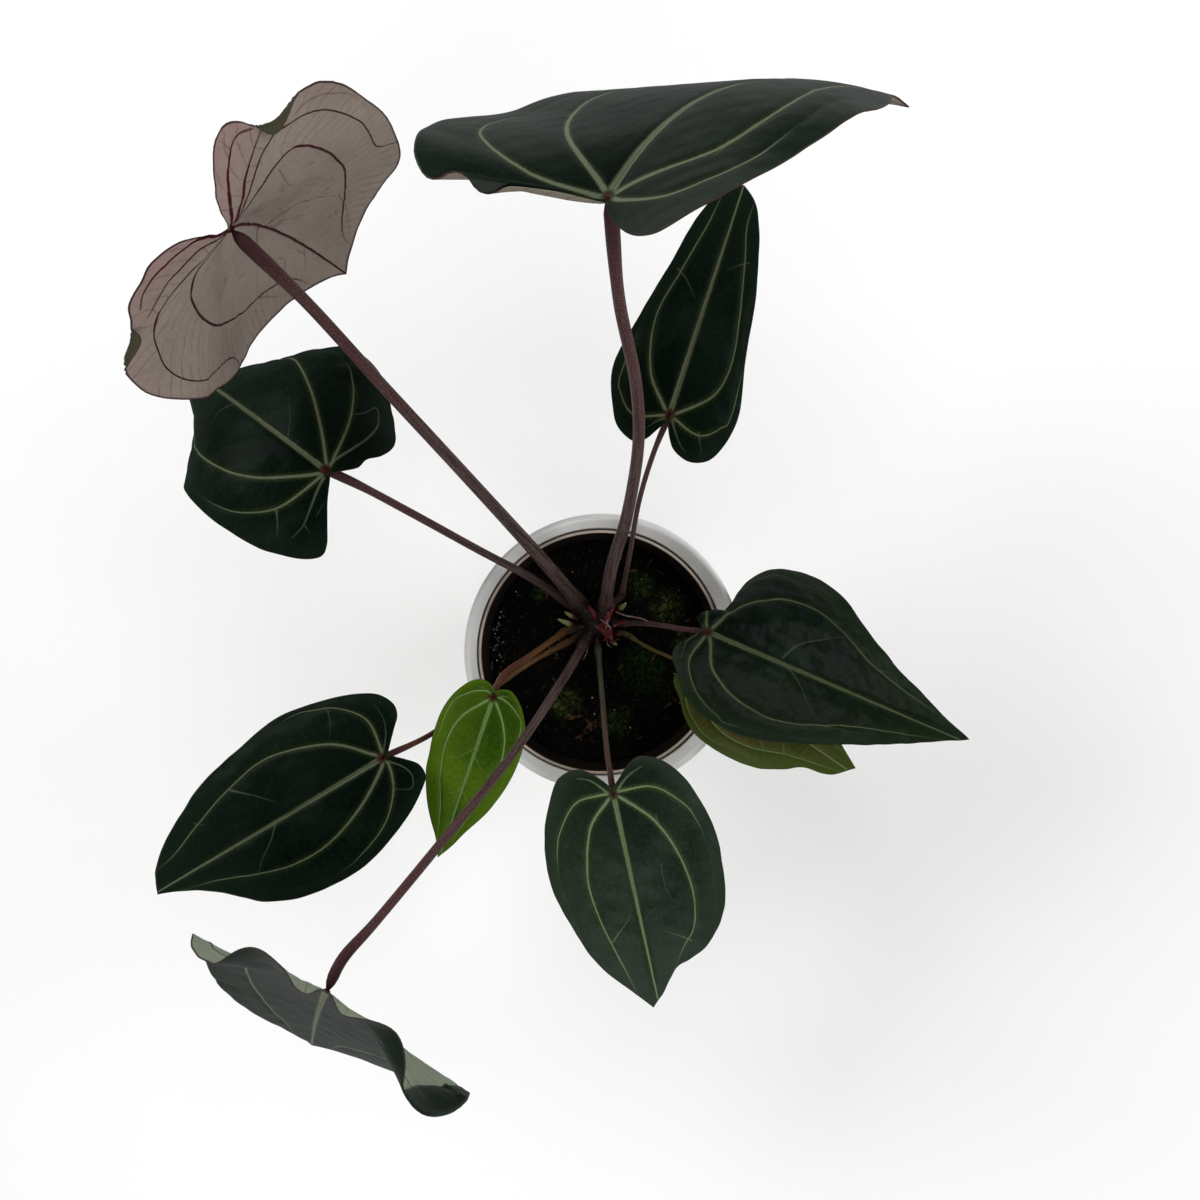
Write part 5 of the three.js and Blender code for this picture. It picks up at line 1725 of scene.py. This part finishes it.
# Small sheaths and threads round the crown: their points, radius (mm) and finish
CROWN_BITS = [
    ([(-1, 12, 108), (2, 14, 111), (4, 18, 112), (4.5, 21, 110)], 1.5, "red"),
    ([(0, 13, 108), (3.5, 11, 111), (5, 8, 111), (6, 5.5, 108)], 1.7, "red"),
    ([(-2, 16, 109), (-4, 20, 112), (-7, 23.5, 111)], 1.3, "red"),
    ([(2, 16, 109), (5, 19.5, 111), (7, 23, 110)], 1.2, "red"),
    ([(-3, 13, 110), (1, 10.5, 112), (3, 7, 111), (1, 5, 108)], 0.9, "red"),
    ([(4, 11, 109), (8, 13.5, 112), (12, 14.5, 113), (18, 14, 118)], 0.7, "red"),
    ([(0, 16, 112), (4, 13, 113.5), (6, 10, 112)], 0.35, "pale"),
    ([(1, 18, 111), (3.5, 15.5, 113), (2.5, 11, 113)], 0.3, "pale"),
    ([(7, 20, 108), (12, 18, 113), (20, 16.5, 119), (24, 15, 128)], 0.45, "pale"),
    ([(-8, 6, 106), (-6.5, 1, 112), (-8.5, -4, 118)], 0.35, "pale"),
    ([(3, 6, 106), (4, 3, 108), (6, 2, 107)], 0.3, "pale"),
]


# Distances from the crown's middle between which a bud's red base turns green (m), and how high that
# middle lies
BUD_GREEN_FROM = (0.0125, 0.0150)
BUD_HEIGHT = 0.107


def make_mound(skin):
    """The short crown: a low mound that swells unevenly round its middle."""
    mound = turned_body("crown_mound", shifted(MOUND_RINGS), 48)
    corners = corners_of(mound)
    out = corners[:, :2] - (PLANT_SHIFT * MM, 0)
    turn = np.arctan2(out[:, 1], out[:, 0])
    (wide, few), (slight, many) = MOUND_SWELLS
    swell = 1 + wide * np.sin(few * turn) + slight * np.sin(many * turn + corners[:, 2] * MOUND_TWIST)
    corners[:, :2] = out * swell[:, None] + np.array([PLANT_SHIFT + CROWN[0], CROWN[1]]) * MM
    put_corners(mound, corners)
    paint_layer(mound, "skin", np.zeros((len(mound.data.loops), 2)))
    mound.data.materials.append(skin)
    smooth_shade(mound)
    finished(mound, "crown")


def make_sheath(name, leaf, skin):
    """Sheath round the foot of a stalk, from the crown up along the stalk."""
    width = leaf["stalk"][0]
    length = SHEATH_LENGTH[0] * width + SHEATH_LENGTH[1]
    held = at_distances(stalk_line(leaf), np.array(SHEATH_HOLDS) * length)
    start = np.array([*CROWN, SOIL_TOP])
    middle = (start * 0.45 + held[0] * 0.55) + (0, 0, SHEATH_BOW)
    share = np.linspace(0, 1, 41)
    at_end = np.maximum(share - SHEATH_END_FROM, 0) / (1 - SHEATH_END_FROM)
    radii = (width * SHEATH_RADIUS[0] + SHEATH_RADIUS[1]) * (1 - SHEATH_TAPER * share)
    sheath = make_rod(name, rod_line([start, middle, *held]), radii * (1 - SHEATH_END_TAPER * at_end), 14)
    sheath.data.materials.append(skin)
    finished(sheath, None)


def make_crown_bit(name, points, radius, skin):
    """A small sheath or thread of the crown, pointed at both ends."""
    share = np.linspace(0, 1, 25)
    bit = make_rod(name, rod_line(points), radius * np.sqrt(np.sin(math.pi * (0.12 + 0.86 * share))), 10)
    bit.data.materials.append(skin)
    finished(bit, None)


def bud_finish():
    """Finish of the leaf buds: green, and dark red at the base."""
    bud = Recipe("bud_green")
    place = bud.objects()
    middle = ((PLANT_SHIFT + CROWN[0]) * MM, CROWN[1] * MM, BUD_HEIGHT)
    green = bud.mix(bud.noise(place, 300, 4), (0.11, 0.13, 0.03, 1), (0.30, 0.32, 0.13, 1))
    base = bud.mix(bud.noise(place, 500, 4), (0.03, 0.004, 0.004, 1), (0.16, 0.03, 0.02, 1))
    colour = bud.mix(bud.ramp(bud.distance(place, middle), *BUD_GREEN_FROM), base, green)
    relief = bud.relief(bud.noise(place, 700, 3), 0.0003, 0.6)
    return bud.finish(Base_Color=colour, Roughness=0.45, Normal=relief)


class ANTHURIUM_OT_crown(bpy.types.Operator):
    """Build the crown with its sheaths, and give the leaf buds their finish."""

    bl_idname = "anthurium.crown"
    bl_label = "Crown and buds"

    def execute(self, context):
        fibres = ((0.002, 0.001, 0.001), (0.014, 0.006, 0.006), (0.07, 0.04, 0.036))
        make_mound(sheath_skin("crown_dark", *fibres))
        sheaths = {
            kind: sheath_skin(f"{kind}_sheath", *fibres, stem=np.add(looks["dark"], looks["light"]) / 2)
            for kind, looks in STEMS.items()
        }
        for name, leaf in LEAVES.items():
            make_sheath(f"sheath_{name}", leaf, sheaths[leaf["stem"]])
        skins = {
            "red": sheath_skin("sheath_red", (0.040, 0.004, 0.005), (0.16, 0.022, 0.020), (0.30, 0.17, 0.14)),
            "pale": sheath_skin("sheath_pale", (0.16, 0.08, 0.07), (0.36, 0.24, 0.21), (0.5, 0.42, 0.38)),
        }
        for number, (points, radius, kind) in enumerate(CROWN_BITS, 1):
            make_crown_bit(f"crown_bit_{number}", points, radius, skins[kind])
        green = bud_finish()
        for number in range(1, 6):
            NODES[f"bud_{number}"].data.materials.clear()
            NODES[f"bud_{number}"].data.materials.append(green)
        return {"FINISHED"}


def knot_finish():
    """Dark red finish of the knots."""
    recipe = Recipe("joint_knot")
    cloud = recipe.noise(recipe.objects(), 500, 4, 0.65)
    colour = recipe.mix(recipe.ramp(cloud, 0.35, 0.65), (0.008, 0.001, 0.001, 1), (0.055, 0.007, 0.006, 1))
    return recipe.finish(
        Base_Color=colour, Roughness=0.5, Specular_IOR_Level=0.05, Normal=recipe.relief(cloud, 0.0004, 0.8)
    )


class ANTHURIUM_OT_leaves(bpy.types.Operator):
    """Build every leaf blade and its stalk."""

    bl_idname = "anthurium.leaves"
    bl_label = "Leaves"

    def execute(self, context):
        looks = context.scene.anthurium_leaves
        chosen = {"light": tuple(looks.leaf_colour), "vein": tuple(looks.vein_colour)}
        finishes = {**FINISHES, **{name: {**FINISHES[name], **chosen} for name in ("midnight", "dusky")}}
        uppers = {name: upper_skin(f"{name}_upper", **colours) for name, colours in finishes.items()}
        unders = {name: under_skin(f"{name}_under", **colours) for name, colours in UNDERSIDES.items()}
        stems = {name: stalk_skin(f"{name}_stalk", **colours) for name, colours in STEMS.items()}
        knot_skin = knot_finish()
        for name, leaf in LEAVES.items():
            skins = uppers[leaf["finish"]], unders[leaf["under"]]
            blade = make_blade(f"leaf_{name}", leaf, skins, looks.thickness, looks.midrib_depth)
            finished(blade, f"blade_{name}")
            stalk = make_stalk(f"petiole_{name}", leaf, stems[leaf["stem"]])
            finished(stalk, f"stalk_{name}")
            finished(make_knot(f"knot_{name}", leaf, knot_skin), None)
        return {"FINISHED"}


class ANTHURIUM_OT_stage(bpy.types.Operator):
    """Set the pale floor, the soft light and the camera that looks straight down."""

    bl_idname = "anthurium.stage"
    bl_label = "Stage"

    def execute(self, context):
        looks = context.scene.anthurium_stage
        deselect()
        bpy.ops.mesh.primitive_plane_add(size=FLOOR_SIZE, location=(0, 0, 0))
        floor = context.object
        floor.name = "floor"
        floor.data.materials.append(pale_floor())
        bpy.ops.object.camera_add(location=CAMERA_PLACE, rotation=(0, 0, 0))
        camera = context.object
        camera.data.lens = looks.lens
        camera.data.sensor_width = SENSOR_WIDTH
        camera.data.clip_start = NEAREST_SEEN
        context.scene.camera = camera
        for name, (place, share, size) in SOFT_BOXES.items():
            soft_box(name, place, looks.key_power * share, size)
        context.scene.world = soft_world(looks.surroundings)
        context.scene.view_settings.view_transform = "Standard"
        return {"FINISHED"}


class ANTHURIUM_PT_panel(bpy.types.Panel):
    """Sidebar panel with the settings and the build buttons."""

    bl_idname = "ANTHURIUM_PT_panel"
    bl_label = "Anthurium"
    bl_space_type = "VIEW_3D"
    bl_region_type = "UI"
    bl_category = "Anthurium"

    def draw(self, context):
        for group in ("anthurium_pots", "anthurium_leaves", "anthurium_stage"):
            settings = getattr(context.scene, group)
            for key in settings.bl_rna.properties.keys():
                if key not in ("rna_type", "name"):
                    self.layout.prop(settings, key)
        for operator in OPERATORS:
            self.layout.operator(operator.bl_idname)


OPERATORS = (
    ANTHURIUM_OT_pots, ANTHURIUM_OT_soil, ANTHURIUM_OT_crown, ANTHURIUM_OT_leaves, ANTHURIUM_OT_stage,
)
SETTINGS = {"anthurium_pots": PotLooks, "anthurium_leaves": LeafLooks, "anthurium_stage": StageLooks}


def register():
    """Registers the settings, the operators and the panel."""
    for name, group in SETTINGS.items():
        bpy.utils.register_class(group)
        setattr(bpy.types.Scene, name, PointerProperty(type=group))
    for operator in OPERATORS:
        bpy.utils.register_class(operator)
    bpy.utils.register_class(ANTHURIUM_PT_panel)


def unregister():
    """Takes them away again."""
    bpy.utils.unregister_class(ANTHURIUM_PT_panel)
    for operator in reversed(OPERATORS):
        bpy.utils.unregister_class(operator)
    for name, group in SETTINGS.items():
        delattr(bpy.types.Scene, name)
        bpy.utils.unregister_class(group)


def main():
    """Builds the whole anthurium."""
    register()
    for build in (
        bpy.ops.anthurium.pots, bpy.ops.anthurium.soil, bpy.ops.anthurium.crown, bpy.ops.anthurium.leaves,
        bpy.ops.anthurium.stage,
    ):
        build()
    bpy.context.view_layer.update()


if __name__ == "__main__":
    main()
